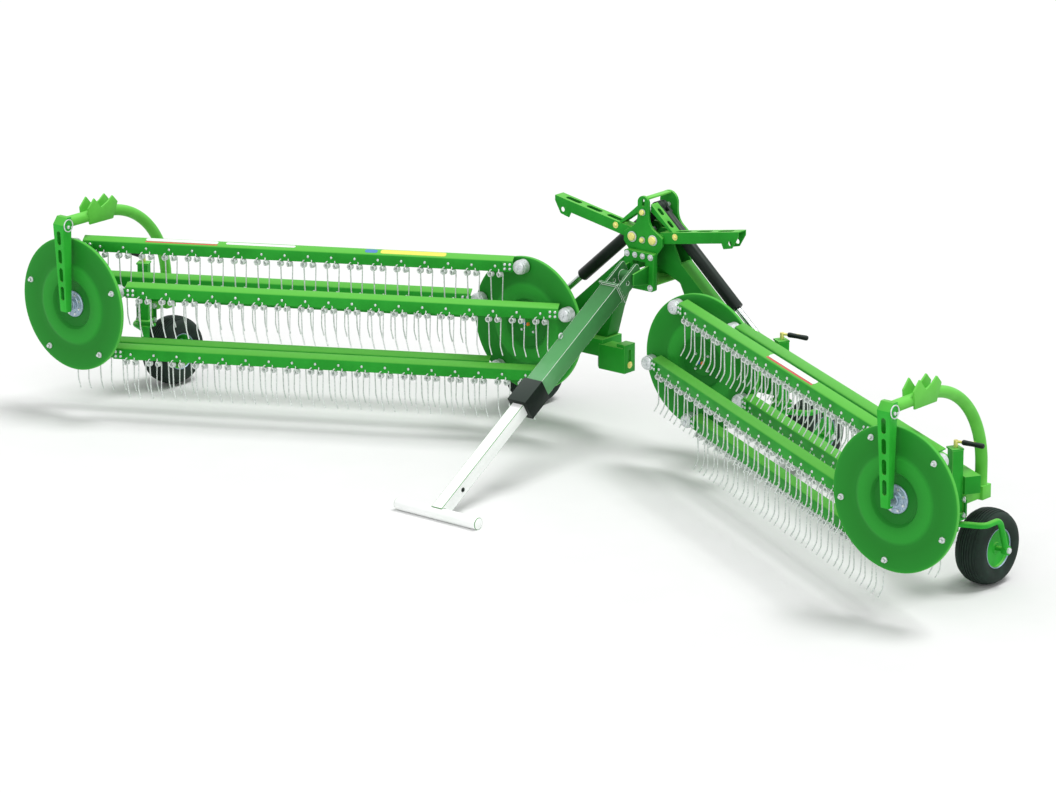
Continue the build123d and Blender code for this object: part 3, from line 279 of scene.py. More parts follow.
# Materials
def enamel(name, dark, middle, light, top, gloss=0.42):
    """Sprayed enamel: cloudy where it pooled, with painted top light that turns upward faces towards a
    lighter colour.
    """
    material, tree, shader, place = surface(name, **ENAMEL_SHINE)
    cloud = noise(tree, place, CLOUD_MM, 3.0)
    body = ramp(tree, cloud, [(0.32, dark), (0.5, middle), (0.70, light)])
    # Painted top light: by the object's normal, upward faces blend towards the lit top colour.
    up = add(tree, "ShaderNodeSeparateXYZ", {"Vector": place.node.outputs["Normal"]})
    painted_top_light = add(tree, "ShaderNodeMapRange", {
        "Value": up.outputs["Z"], "From Min": 0.25, "From Max": 0.95}, interpolation_type="SMOOTHSTEP")
    mix = add(tree, "ShaderNodeMix", {"Factor": painted_top_light.outputs["Result"]}, data_type="RGBA")
    tree.links.new(body, mix.inputs["A"])
    mix.inputs["B"].default_value = srgb(top)
    tree.links.new(mix.outputs["Result"], shader.inputs["Base Color"])
    fine = noise(tree, place, GRAIN_MM, 5.0)
    tree.links.new(grey_range(tree, fine, gloss - 0.07, gloss + 0.09), shader.inputs["Roughness"])
    peel = noise(tree, place, PEEL_MM, 2.0)
    bump(tree, shader, peel, 0.12, 0.35)
    return material


def disc_enamel():
    """Enamel on the pressed discs, with painted shade darker in the recess and on the outer ring, the
    raised ring lighter, and a painted highlight on the rim.
    """
    material, tree, shader, place = surface("disc_enamel", **ENAMEL_SHINE)
    radius = add(tree, "ShaderNodeAttribute", attribute_name="radius").outputs["Fac"]
    share = add(tree, "ShaderNodeMath", {0: radius, 1: DISC_R}, operation="DIVIDE").outputs[0]
    # Painted shade and highlight by radius: dark recess, lighter raised ring, darker outer ring, pale
    # rim.
    ring_shade_and_rim_highlight = ramp(tree, share, [
        (0.0, "#17681f"), (0.33, "#1b7224"), (0.40, "#258a2b"), (0.50, "#2b9631"), (0.58, "#2c9832"),
        (0.63, "#217f28"), (0.72, "#1f7c25"), (0.94, "#23862a"), (0.985, "#2a922f"), (1.0, "#58bd4a")])
    cloud = noise(tree, place, DISC_CLOUD_MM, 2.0)
    mix = add(tree, "ShaderNodeMix", {"Factor": grey_range(tree, cloud, 0.0, 0.22)}, data_type="RGBA")
    tree.links.new(ring_shade_and_rim_highlight, mix.inputs["A"])
    mix.inputs["B"].default_value = srgb("#2e9a34")
    tree.links.new(mix.outputs["Result"], shader.inputs["Base Color"])
    fine = noise(tree, place, GRAIN_MM, 5.0)
    tree.links.new(grey_range(tree, fine, 0.36, 0.5), shader.inputs["Roughness"])
    bump(tree, shader, noise(tree, place, PEEL_MM, 2.0), 0.1, 0.3)
    return material


def leg_enamel():
    """Frosted enamel of the parking leg's outer tube: green by the mast, palest by the collar."""
    material, tree, shader, place = surface("leg_enamel", **{"Specular IOR Level": 0.3})
    along = add(tree, "ShaderNodeSeparateXYZ", {"Vector": place}).outputs["Y"]
    share = add(tree, "ShaderNodeMapRange", {
        "Value": along, "From Min": LEG_PALE_Y, "From Max": LEG_GREEN_Y}).outputs["Result"]
    worn = noise(tree, place, LEG_WEAR_MM, 5.0)
    uneven = grey_range(tree, worn, -0.09, 0.09)
    both = add(tree, "ShaderNodeMath", {0: share, 1: uneven}, operation="ADD")
    colour = ramp(tree, both.outputs[0], [
        (0.0, "#fbfdfc"), (0.06, "#cfe6d3"), (0.16, "#7ab783"), (0.40, "#59a062"), (0.75, "#498f53"),
        (1.0, "#37763f")])
    tree.links.new(colour, shader.inputs["Base Color"])
    tree.links.new(grey_range(tree, worn, 0.3, 0.5), shader.inputs["Roughness"])
    bump(tree, shader, noise(tree, place, LEG_PEEL_MM, 2.0), 0.1, 0.3)
    return material


def zinc(name, dark, light, roughness=0.34):
    """Electroplated zinc: bright, faintly mottled by the plating bath."""
    material, tree, shader, place = surface(name, 0.55)
    mottle = noise(tree, place, PLATING_MOTTLE_MM, 4.0)
    tree.links.new(ramp(tree, mottle, [(0.3, dark), (0.72, light)]), shader.inputs["Base Color"])
    tree.links.new(grey_range(tree, mottle, roughness - 0.08, roughness + 0.12),
                   shader.inputs["Roughness"])
    bump(tree, shader, noise(tree, place, PLATING_GRAIN_MM, 2.0), 0.05, 0.4)
    return material


def rubber():
    """Moulded tyre rubber: matt black, greyer where dust sits in its grain."""
    material, tree, shader, place = surface("tyre_rubber", **{"Specular IOR Level": 0.35})
    dust = noise(tree, place, RUBBER_DUST_MM, 6.0, 0.65)
    colour = ramp(tree, dust, [(0.35, "#0f1f18"), (0.6, "#182c23"), (0.82, "#284136")])
    tree.links.new(colour, shader.inputs["Base Color"])
    tree.links.new(grey_range(tree, dust, 0.62, 0.88), shader.inputs["Roughness"])
    bump(tree, shader, noise(tree, place, RUBBER_GRAIN_MM, 3.0), 0.2, 0.5)
    return material


def ground_rod():
    """Hard-chromed and ground piston rod: mirror bright, with soft patches for its scratches."""
    material, tree, shader, place = surface("chromed_rod", 1.0)
    ground = noise(tree, place, GRINDING_MM, 6.0)
    colour = ramp(tree, ground, [(0.3, "#aab2b0"), (0.7, "#d6dcda")])
    tree.links.new(colour, shader.inputs["Base Color"])
    tree.links.new(grey_range(tree, ground, 0.12, 0.26), shader.inputs["Roughness"])
    return material


def decal_film(name, code):
    """Printed vinyl film: flat colour, satin, with the film's faint ripple."""
    material, tree, shader, place = surface(name)
    ripple = noise(tree, place, FILM_RIPPLE_MM, 2.0)
    mix = add(tree, "ShaderNodeMix", {"Factor": grey_range(tree, ripple, 0.0, 0.10)}, data_type="RGBA")
    mix.inputs["A"].default_value = srgb(code)
    mix.inputs["B"].default_value = srgb("#c9cfca")
    tree.links.new(mix.outputs["Result"], shader.inputs["Base Color"])
    tree.links.new(grey_range(tree, ripple, 0.30, 0.42), shader.inputs["Roughness"])
    bump(tree, shader, ripple, 0.1, 0.2)
    return material


# Enamel sprayed on the mast, the beams and the bars: satin green, with painted top light on upward faces.
PAINT = enamel("green_enamel", "#1f8f26", "#24982b", "#2ba231", "#63bf4b")
# The same paint, newer and brighter, on wheel posts, bearings, hub links, casters and rims.
PAINT_FRESH = enamel("fresh_green_enamel", "#29a42f", "#2fae35", "#37b93c", "#63bf4b")
# A lighter green on the goosenecks and the mast's bridge.
PAINT_LIGHT = enamel("light_green_enamel", "#56b53c", "#60c046", "#6bca50", "#74d259")
# Deeper green, as in a second coat, on the swan necks, brackets and clamp plates; also the painted shade
# line along the edges of the goosenecks and of the leg's slide and foot.
PAINT_DARK = enamel("dark_green_enamel", "#1a7a22", "#1f8327", "#258c2d", "#55ae42")
# Painted highlight: the pale line on the softened edges of the plates.
PAINT_EDGE = enamel("edge_highlight_enamel", "#52b94a", "#63c657", "#78d268", "#9ae385")
# Enamel on pressed sheet, with painted shade in the recess and on the outer ring, and a painted highlight
# on the rim.
PAINT_DISC = disc_enamel()
# Cylinder barrels, collar and grips: a glossier, near black enamel.
PAINT_BLACK = enamel("black_enamel", "#161d19", "#1c2420", "#27302b", "#3d4641", 0.36)
# Frosted enamel of the leg's outer tube.
PAINT_LEG = leg_enamel()
# The leg's inner tube and foot, almost bare of green; also the painted highlight lines along the edges of
# the leg's outer tube.
PAINT_WHITE = enamel("white_enamel", "#f6fbf7", "#fbfefc", "#fefffe", "#ffffff")
# Grease caps on the inner discs.
CAP_BLUE = enamel("blue_cap_enamel", "#2f6fb0", "#3b7dbf", "#4b8bca", "#6aa2d8")
CAP_ORANGE = enamel("orange_cap_enamel", "#d9701f", "#e27a28", "#ea8836", "#f09a4c")
# Clear zinc plate on hubs, bolts and pins: cool and bright.
ZINC = zinc("zinc_plate", "#b9c0c2", "#e6eaea")
# Blue passivated zinc on the outer discs' flanges and the rims' edges: duller and bluish.
ZINC_BLUE = zinc("blue_zinc_plate", "#7f96ab", "#b0c3d2", 0.4)
# Yellow chromated zinc on the cranks, the pins' caps and the lock arms' bolts.
ZINC_YELLOW = zinc("yellow_zinc_plate", "#e4da6c", "#f7f2a6", 0.45)
# Spring steel wire with a thin zinc coat: pale and satin.
SPRING_WIRE = zinc("spring_wire", "#bcc6c0", "#eef3f0", 0.45)
# Moulded rubber, dusty in its grain.
RUBBER = rubber()
# Hard chrome, ground bright.
CHROME = ground_rod()
# Blank vinyl films, printed in one flat colour each.
FILM_WHITE = decal_film("white_film", "#eef2ee")
FILM_RED = decal_film("red_film", "#d8232f")
FILM_YELLOW = decal_film("yellow_film", "#eee653")
FILM_BLUE = decal_film("blue_film", "#3e7fc4")


# Mesh helpers
def link(name, mesh, *materials):
    """A new object at the origin with its materials."""
    piece = bpy.data.objects.new(name, mesh)
    bpy.context.scene.collection.objects.link(piece)
    for material in materials:
        mesh.materials.append(material)
    return piece


def finish_mesh(bm, mesh, sharp=CRISP_TURN):
    """Smooth faces, with the edges that turn by more than sharp degrees kept crisp."""
    for face in bm.faces:
        face.smooth = True
    for edge in bm.edges:
        turned = len(edge.link_faces) == 2 and edge.calc_face_angle(0) > radians(sharp)
        edge.smooth = not turned
    bm.to_mesh(mesh)
    bm.free()
    mesh.update()


def piece_from(name, bm, material, body, sharp=CRISP_TURN):
    """Finishes a bmesh as a piece that rides on a body."""
    mesh = bpy.data.meshes.new(name)
    finish_mesh(bm, mesh, sharp)
    piece = link(name, mesh, material)
    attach(piece, body)
    return piece


def dressed(node, material, body, slot_name, edge, painted_edge_line):
    """The CAD node's own form with softened edges, which stands for the node."""
    bm = bmesh.new()
    bm.from_mesh(frame["nodes"][node].data)
    bmesh.ops.remove_doubles(bm, verts=bm.verts, dist=WELD)
    bmesh.ops.dissolve_limit(bm, angle_limit=FLAT_TURN, verts=bm.verts, edges=bm.edges)
    paired = [e for e in bm.edges if len(e.link_faces) == 2]
    sharp_edges = [e for e in paired if e.calc_face_angle(0) > EDGE_TURN]
    # The bevel faces take the second material: a painted highlight line on some parts, a painted shade
    # line on others.
    bmesh.ops.bevel(bm, geom=sharp_edges, offset=edge, segments=2, profile=0.5,
                    affect="EDGES", clamp_overlap=True, material=1 if painted_edge_line else -1)
    bmesh.ops.triangulate(bm, faces=[f for f in bm.faces if len(f.verts) > 4])
    piece = piece_from(f"{node}_dressed", bm, material, body)
    if painted_edge_line:
        piece.data.materials.append(painted_edge_line)
    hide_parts(node)


def add_ring_mesh(bm, profile, centre, axis, segments, closed=False):
    """Adds a surface turned from (radius, height) points; radius 0 closes it at a pole."""
    turn = Vector((0, 0, 1)).rotation_difference(Vector(axis).normalized()).to_matrix()
    centre = Vector(centre)
    rings = []
    for r, h in profile:
        if r == 0:
            rings.append([bm.verts.new(centre + turn @ Vector((0, 0, h)))])
            continue
        ring = []
        for i in range(segments):
            a = 2 * pi * i / segments
            ring.append(bm.verts.new(centre + turn @ Vector((r * cos(a), r * sin(a), h))))
        rings.append(ring)
    pairs = list(zip(rings, rings[1:]))
    if closed:
        pairs.append((rings[-1], rings[0]))
    for low, high in pairs:
        for i in range(segments):
            j = (i + 1) % segments
            if len(low) == 1:
                bm.faces.new((low[0], high[j], high[i]))
            elif len(high) == 1:
                bm.faces.new((low[i], low[j], high[0]))
            else:
                bm.faces.new((low[i], low[j], high[j], high[i]))


def add_prism(bm, outline, way):
    """Adds a solid from an outline of points, pushed along a vector."""
    way = Vector(way)
    low = [bm.verts.new(Vector(p)) for p in outline]
    high = [bm.verts.new(Vector(p) + way) for p in outline]
    bm.faces.new(low)
    bm.faces.new(list(reversed(high)))
    count = len(low)
    for i in range(count):
        j = (i + 1) % count
        bm.faces.new((low[j], low[i], high[i], high[j]))


def facing_out(bm):
    """Turns every face outwards."""
    bmesh.ops.recalc_face_normals(bm, faces=bm.faces)
    return bm


def round_section(ring_r, wire_r, steps):
    """Section of a ring of round wire, as (radius, height) points."""
    angles = [2 * pi * i / steps for i in range(steps)]
    return [(ring_r + wire_r * cos(a), wire_r * sin(a)) for a in angles]


def wire_mesh(name, points, radius, rounding):
    """A round wire along points, as a mesh."""
    curve = bpy.data.curves.new(name, "CURVE")
    curve.dimensions = "3D"
    curve.bevel_depth = radius
    curve.bevel_resolution = rounding
    curve.use_fill_caps = True
    spline = curve.splines.new("POLY")
    spline.points.add(len(points) - 1)
    for point, place in zip(spline.points, points):
        point.co = (*place, 1.0)
    holder = bpy.data.objects.new(name, curve)
    bpy.context.scene.collection.objects.link(holder)
    graph = bpy.context.evaluated_depsgraph_get()
    mesh = bpy.data.meshes.new_from_object(holder.evaluated_get(graph))
    bpy.data.objects.remove(holder)
    bpy.data.curves.remove(curve)
    return mesh


# Rows of like pieces along a bar
def row_tree(name, part, material):
    """Copies a part along a line; its inputs are the count, the first place and the step."""
    tree = bpy.data.node_groups.new(name, "GeometryNodeTree")
    interface = tree.interface
    interface.new_socket("Geometry", in_out="OUTPUT", socket_type="NodeSocketGeometry")
    interface.new_socket("Geometry", in_out="INPUT", socket_type="NodeSocketGeometry")
    interface.new_socket("Count", in_out="INPUT", socket_type="NodeSocketInt")
    interface.new_socket("First", in_out="INPUT", socket_type="NodeSocketVector")
    interface.new_socket("Step", in_out="INPUT", socket_type="NodeSocketVector")
    given = add(tree, "NodeGroupInput").outputs
    line = add(tree, "GeometryNodeMeshLine", {
        "Count": given["Count"], "Start Location": given["First"], "Offset": given["Step"]})
    source = add(tree, "GeometryNodeObjectInfo", {"Object": part})
    copies = add(tree, "GeometryNodeInstanceOnPoints", {
        "Points": line.outputs["Mesh"], "Instance": source.outputs["Geometry"]})
    real = add(tree, "GeometryNodeRealizeInstances", {"Geometry": copies.outputs["Instances"]})
    finish = add(tree, "GeometryNodeSetMaterial", {
        "Geometry": real.outputs["Geometry"], "Material": material})
    add(tree, "NodeGroupOutput", {"Geometry": finish.outputs["Geometry"]})
    return tree


def row(name, tree, count, first, step, body):
    """Bakes one row of a tree to a plain mesh that rides on a body."""
    holder = link(name, bpy.data.meshes.new(name))
    modifier = holder.modifiers.new("row", "NODES")
    modifier.node_group = tree
    values = {"Count": count, "First": first, "Step": step}
    for item in tree.interface.items_tree:
        if item.in_out == "INPUT" and item.name in values:
            modifier[item.identifier] = values[item.name]
    graph = bpy.context.evaluated_depsgraph_get()
    mesh = bpy.data.meshes.new_from_object(holder.evaluated_get(graph))
    holder.modifiers.remove(modifier)
    holder.data = mesh
    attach(holder, body)


def hidden_part(name, mesh):
    """An object that only the rows use, kept out of the picture."""
    return bpy.data.objects.new(name, mesh)


# Directions of the bars
def bar_way(k):
    """The level run of a side's bars, from their inner to their outer hubs."""
    inner = Vector(JOINTS["reel_right_spin"]["pos_m"])
    outer = Vector(JOINTS["disc_outer_right_spin"]["pos_m"])
    offset = Vector(JOINTS["tine_bar_right_1_hang"]["pos_m"]).y - inner.y
    run = outer - inner
    run.y -= 2 * offset
    run.z = 0
    run.x *= k
    return run


BAR_RUN = {k: bar_way(k) for _, k in SIDES}
BAR_LENGTH = BAR_RUN[1].length


# Tine bars
def coil_points(k, s):
    """One half of a double tine, from the clamp loop round its coil to the hooked tip."""
    along = BAR_RUN[k].normalized()
    centre = along * (s * COIL_OUT) + Vector((0, 0, -COIL_DROP))
    out_x = s * k
    steps = int(COIL_TURNS * COIL_STEPS)
    depth = COIL_PITCH * COIL_TURNS
    points = []
    for i in range(steps + 1):
        a = 2 * pi * i / COIL_STEPS
        shift = depth * (0.5 - i / steps)
        points.append(centre + Vector((out_x * COIL_R * sin(a), -shift, COIL_R * cos(a))))
    x = points[-1].x
    y = points[-1].y
    narrow = out_x * LEG_NARROWS
    hook = -k * TIP_HOOK
    # Share of the narrowing, share of the hook, height, and shift to the rear
    leg = [
        (0.3, 0.0, -COIL_DROP - 0.05, 0.0),
        (0.9, 0.0, -BEND_DROP + 0.02, 0.0),
        (1.0, 0.08, -BEND_DROP, -0.001),
        (1.0, 0.36, -BEND_DROP - 0.02, -0.003),
        (1.0, 1.0, -TIP_DROP, -0.009),
    ]
    for inward, hooked, z, rear in leg:
        points.append(Vector((x - narrow * inward + hook * hooked, y + rear, z)))
    return points


def double_tine(k):
    """The whole wire of a double tine, tip to tip through the clamp loop on its bolt."""
    along = BAR_RUN[k].normalized()
    # Mostly to the rear; the loop leans a little
    back = Vector((along.y, along.x, 0))
    if back.y < 0:
        back = -back
    start = coil_points(k, -1)
    end = coil_points(k, 1)
    behind = back * LOOP_BACK
    rise = Vector((0, 0, LOOP_START_UP))
    low_x, low_z = LOOP_LOW
    high_x, high_z = LOOP_HIGH
    loop = [
        behind + Vector((-low_x, 0, low_z)),
        behind + Vector((-high_x, 0, high_z)),
        behind + Vector((high_x, 0, high_z)),
        behind + Vector((low_x, 0, low_z)),
    ]
    if k < 0:
        loop.reverse()
    first = start[0] + rise + behind * LOOP_START_BACK
    last = end[0] + rise + behind * LOOP_START_BACK
    return [*reversed(start), first, *loop, last, *end]


def dome_bolt(name):
    """A coach bolt's domed head, its axis to the front, as a mesh."""
    bm = bmesh.new()
    profile = [(0.0, 0.0065), (0.005, 0.006), (0.0085, 0.0035), (0.0095, 0.0), (0.0095, -0.001)]
    add_ring_mesh(bm, profile, (0, 0, 0), (0, -1, 0), 12)
    mesh = bpy.data.meshes.new(name)
    finish_mesh(facing_out(bm), mesh)
    return mesh


def angle_section():
    """The bar's angle section as (v towards the rear, z) points, with short steps round its bend."""
    half = FLANGE_H / 2
    t = FLANGE_T / 2
    run = Vector((cos(TOP_TILT), sin(TOP_TILT)))
    across = Vector((-sin(TOP_TILT), cos(TOP_TILT)))
    tip = Vector((t, half - FLANGE_T)) + run * TOP_FLANGE_W
    outside = tip + across * FLANGE_T * 0.9
    return [
        (-t, -half),
        (t, -half),
        (t, half - FLANGE_T - 0.003),
        (t + 0.002, half - FLANGE_T),
        (tip.x, tip.y),
        (outside.x, outside.y),
        (t + 0.003, half + 0.004),
        (-t + 0.002, half - 0.001),
        (-t, half - 0.006),
    ]


def bar_frame(hub, k):
    """Matrix from (u along the bar, v to the rear, z) to the row frame, at an inner hub."""
    along = BAR_RUN[k].normalized()
    rear = Vector((-along.y * k, along.x * k, 0))
    columns = Matrix((along, rear, (0, 0, 1))).transposed()
    return Matrix.Translation(hub) @ columns.to_4x4()


def angle_piece(name, hub, k, body):
    """The painted angle with a bracket plate at each end."""
    bm = bmesh.new()
    place = bar_frame(hub, k)
    outline = [place @ Vector((BAR_START, v, z)) for v, z in angle_section()]
    add_prism(bm, outline, BAR_RUN[k].normalized() * (BAR_LENGTH - 2 * BAR_START))
    for start in (BRACKET_START, BAR_LENGTH - BRACKET_L):
        end = start + BRACKET_L - BRACKET_START
        wide = start + BRACKET_TAPER
        corners = [(start, -BRACKET_NOSE_HALF), (wide, -BRACKET_HALF), (end, -BRACKET_HALF),
                   (end, BRACKET_HALF), (wide, BRACKET_HALF), (start, BRACKET_NOSE_HALF)]
        plate = [place @ Vector((u, BRACKET_FRONT, z)) for u, z in corners]
        add_prism(bm, plate, place.to_3x3() @ Vector((0, FLANGE_T - BRACKET_GAP, 0)))
    facing_out(bm)
    edges = [e for e in bm.edges if e.calc_face_angle(0) > ANGLE_TURN]
    bmesh.ops.bevel(bm, geom=edges, offset=ANGLE_EDGE, segments=2, profile=0.5, affect="EDGES",
                    clamp_overlap=True)
    piece = piece_from(name, bm, PAINT, body)
    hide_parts(body)


def hub_piece(name, hub, k, body):
    """Both hubs of a bar: a turned housing with a domed cap and a nut."""
    bm = bmesh.new()
    half = HUB_WIDTH / 2
    profile = [
        (0.0, -half),
        (HUB_R - 0.004, -half),
        (HUB_R, -half + 0.004),
        (HUB_R, half - 0.030),
        (HUB_R - 0.003, half - 0.026),
        (HUB_R - 0.003, half - 0.014),
        (HUB_R - 0.010, half - 0.005),
        (HUB_R - 0.022, half),
        (0.013, half + 0.001),
        (0.012, half + 0.008),
        (0.0, half + 0.009),
    ]
    add_ring_mesh(bm, profile, hub, (0, -1, 0), 36)
    add_ring_mesh(bm, profile, hub + BAR_RUN[k], (0, 1, 0), 36)
    facing_out(bm)
    piece_from(name, bm, ZINC, body, TURNED_CRISP_TURN)


def bracket_bolts(name, hub, k, body):
    """Two and two bolts on each end bracket."""
    bm = bmesh.new()
    place = bar_frame(hub, k)
    forward = place.to_3x3() @ Vector((0, -1, 0))
    profile = [(0.0, 0.007), (0.006, 0.006), (0.009, 0.003), (0.010, -0.001)]
    for start, way in ((0.0, 1), (BAR_LENGTH, -1)):
        for u in BRACKET_BOLTS_ALONG:
            for z in BRACKET_BOLTS_UP:
                spot = place @ Vector((start + way * u, BRACKET_FRONT, z))
                add_ring_mesh(bm, profile, spot, forward, 12)
    facing_out(bm)
    piece_from(name, bm, ZINC, body)


def tine_bars():
    """Every bar: angle, hubs, fasteners and its rows of tines and bolts."""
    for side, k in SIDES:
        wire = wire_mesh(f"tine_{side}", double_tine(k), WIRE_R, WIRE_ROUNDING)
        for face in wire.polygons:
            face.use_smooth = True
        tine = hidden_part(f"tine_part_{side}", wire)
        bolt = hidden_part(f"bolt_part_{side}", dome_bolt(f"bolt_part_{side}"))
        tines = row_tree(f"tine_row_{side}", tine, SPRING_WIRE)
        bolts = row_tree(f"bolt_row_{side}", bolt, ZINC)
        along = BAR_RUN[k].normalized()
        for number in range(1, PINS + 1):
            body = f"tine_bar_{side}_{number}"
            hub = Vector(JOINTS[f"{body}_hang"]["pos_m"])
            place = bar_frame(hub, k)
            angle_piece(f"angle_{side}_{number}", hub, k, body)
            hub_piece(f"hubs_{side}_{number}", hub, k, body)
            bracket_bolts(f"bracket_bolts_{side}_{number}", hub, k, body)
            first = place @ Vector((FIRST_TINE, FLANGE_T, 0))
            row(f"tines_{side}_{number}", tines, TINES, first, along * TINE_PITCH, body)
            head = place @ Vector((FIRST_TINE, -FLANGE_T / 2, 0))
            row(f"tine_bolts_{side}_{number}", bolts, TINES, head, along * TINE_PITCH, body)


# Discs
def disc_profile():
    """Front and back of the pressed disc, as (radius, height to the rear) points."""
    front = [
        (0.0, 0.011),
        (0.138, 0.011),
        (0.147, 0.009),
        (RING_INNER_R - 0.002, -0.011),
        (RING_INNER_R + 0.008, -0.013),
        (0.206, -0.0135),
        (0.240, -0.013),
        (0.250, -0.0122),
        (RING_OUTER_R - 0.002, -0.0042),
        (RING_OUTER_R + 0.008, -0.003),
        (0.345, -0.003),
        (0.420, -0.003),
        (DISC_R - 0.003, -0.002),
        (DISC_R, 0.002),
        (DISC_R, 0.018),
    ]
    lip_back = [(DISC_R - DISC_PLATE, 0.018), (DISC_R - DISC_PLATE, 0.003)]
    back = [(r, h + DISC_PLATE) for r, h in reversed(front[:-DISC_LIP_POINTS])]
    return front + lip_back + back


def mark_radius(piece, centre):
    """Stores how far each point is from a disc's axis, for the paint's painted shade rings and rim
    highlight.
    """
    layer = piece.data.attributes.new("radius", "FLOAT", "POINT")
    for item, vertex in zip(layer.data, piece.data.vertices):
        item.value = Vector((vertex.co.x - centre.x, vertex.co.z - centre.z)).length


def disc_pieces():
    """The four pressed discs with their hub flanges, pin heads and bolts."""
    for side, _ in SIDES:
        for place in ("inner", "outer"):
            body = f"disc_{place}_{side}"
            joint = f"reel_{side}_spin" if place == "inner" else f"{body}_spin"
            centre = Vector(JOINTS[joint]["pos_m"])
            hub_at = centre + Vector((0, DISC_HUB_BACK, 0))
            bm = bmesh.new()
            add_ring_mesh(bm, disc_profile(), centre, (0, 1, 0), DISC_SIDES)
            facing_out(bm)
            plate = piece_from(f"{body}_plate", bm, PAINT_DISC, body)
            mark_radius(plate, centre)
            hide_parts(body)
            disc_pins(side, place, body, centre)
            disc_hub(place, body, hub_at)
            if place == "inner":
                grease_caps(body, hub_at)


def pin_places(side, centre):
    """The pin centres on a disc, from the bars' joints."""
    inner = Vector(JOINTS[f"reel_{side}_spin"]["pos_m"])
    spots = []
    for number in range(1, PINS + 1):
        pin = Vector(JOINTS[f"tine_bar_{side}_{number}_hang"]["pos_m"])
        spots.append(Vector((centre.x + pin.x - inner.x, centre.y, centre.z + pin.z - inner.z)))
    return spots


def disc_pins(side, place, body, centre):
    """Pins through the disc, each with a collar on one face and a bolt head on the other."""
    bm = bmesh.new()
    head_way = -1 if place == "outer" else 1
    head = [(0.0, 0.026), (0.008, 0.026), (0.0105, 0.023), (0.011, 0.010), (0.017, 0.009),
            (0.019, 0.006), (0.019, 0.0)]
    collar = [(0.0, 0.0), (0.024, 0.0), (0.024, 0.009), (0.0, 0.009)]
    seat = Vector((0, head_way * PIN_SEAT, 0))
    for spot in pin_places(side, centre):
        add_ring_mesh(bm, head, spot + seat, (0, head_way, 0), 20)
        add_ring_mesh(bm, collar, spot - seat, (0, -head_way, 0), 24)
    facing_out(bm)
    piece_from(f"{body}_pins", bm, ZINC, body)


def disc_hub(place, body, hub_at):
    """Stepped hub flange and its ring of bolts: eight on an outer disc, four on an inner one."""
    outer = place == "outer"
    flange = [(0.0, 0.036), (0.030, 0.036), (0.034, 0.032), (0.036, 0.020), (0.050, 0.018),
              (0.054, 0.014), (0.080, 0.012), (0.085, 0.008), (0.085, -0.002)]
    rise = 0.012
    bolts = 8
    if not outer:
        flange = [(r, h * INNER_HUB_SHARE) for r, h in flange]
        rise *= INNER_HUB_SHARE
        bolts = 4
    bm = bmesh.new()
    add_ring_mesh(bm, flange, hub_at, (0, -1, 0), 48)
    facing_out(bm)
    piece_from(f"{body}_hub", bm, ZINC_BLUE if outer else PAINT_DARK, body)
    bm = bmesh.new()
    for i in range(bolts):
        a = 2 * pi * (i + 0.5) / bolts
        spot = hub_at + Vector((DISC_HUB_BOLT_R * cos(a), -rise, DISC_HUB_BOLT_R * sin(a)))
        add_ring_mesh(bm, [(0.0, 0.009), (0.008, 0.009), (0.0095, 0.0)], spot, (0, -1, 0), 6)
    facing_out(bm)
    piece_from(f"{body}_hub_bolts", bm, ZINC, body)


def grease_caps(body, hub_at):
    """A blue and an orange cap over the grease nipples in the middle of an inner disc."""
    cap = [(0.0, 0.016), (0.006, 0.015), (0.010, 0.011), (0.012, 0.0), (0.012, -0.002)]
    paints = {"blue": CAP_BLUE, "orange": CAP_ORANGE}
    for name, shift in CAPS:
        bm = bmesh.new()
        add_ring_mesh(bm, cap, hub_at + Vector((shift, CAP_OUT, 0)), (0, -1, 0), 20)
        facing_out(bm)
        piece_from(f"{body}_{name}_cap", bm, paints[name], body)


# Wheels
def tyre_profile():
    """The tyre's whole section: side wall, rounded shoulder, ribbed tread, and the other side."""
    wall = [(RIM_R, 0.022), (RIM_R + 0.010, 0.013), (RIM_R + 0.030, 0.004), (RIM_R + 0.050, 0.0005),
            (0.184, 0.004), (0.198, 0.013), (0.2075, 0.027)]
    near = [(r, -TYRE_HALF + h) for r, h in wall]
    far = [(r, -h) for r, h in reversed(near)]
    span = 2 * (TYRE_HALF - SHOULDER_W)
    middle = (TREAD_RIBS - 1) / 2
    tread = []
    for i in range(TREAD_RIBS):
        left = -TYRE_HALF + SHOULDER_W + span * i / TREAD_RIBS
        right = -TYRE_HALF + SHOULDER_W + span * (i + 1) / TREAD_RIBS
        crown = TREAD_R - TREAD_ROUND * abs((i - middle) / middle) ** 2
        tread += [(crown - GROOVE, left + 0.0005), (crown, left + 0.002), (crown, right - 0.005),
                  (crown - GROOVE, right - 0.0035)]
    return near + tread + far


# Pressed rim with its hub tube, as (radius, height) points round the whole section
RIM_PROFILE = [
    (0.016, 0.068), (0.030, 0.068), (0.034, 0.064), (0.036, 0.061), (0.050, 0.059), (0.098, 0.060),
    (0.107, 0.063), (0.111, 0.070), (0.114, 0.077), (0.1195, 0.078), (0.1195, -0.078), (0.114, -0.077),
    (0.111, -0.068), (0.109, -0.040), (0.109, 0.040), (0.104, 0.050), (0.036, 0.050), (0.034, 0.046),
    (0.034, -0.064), (0.030, -0.068), (0.016, -0.068),
]


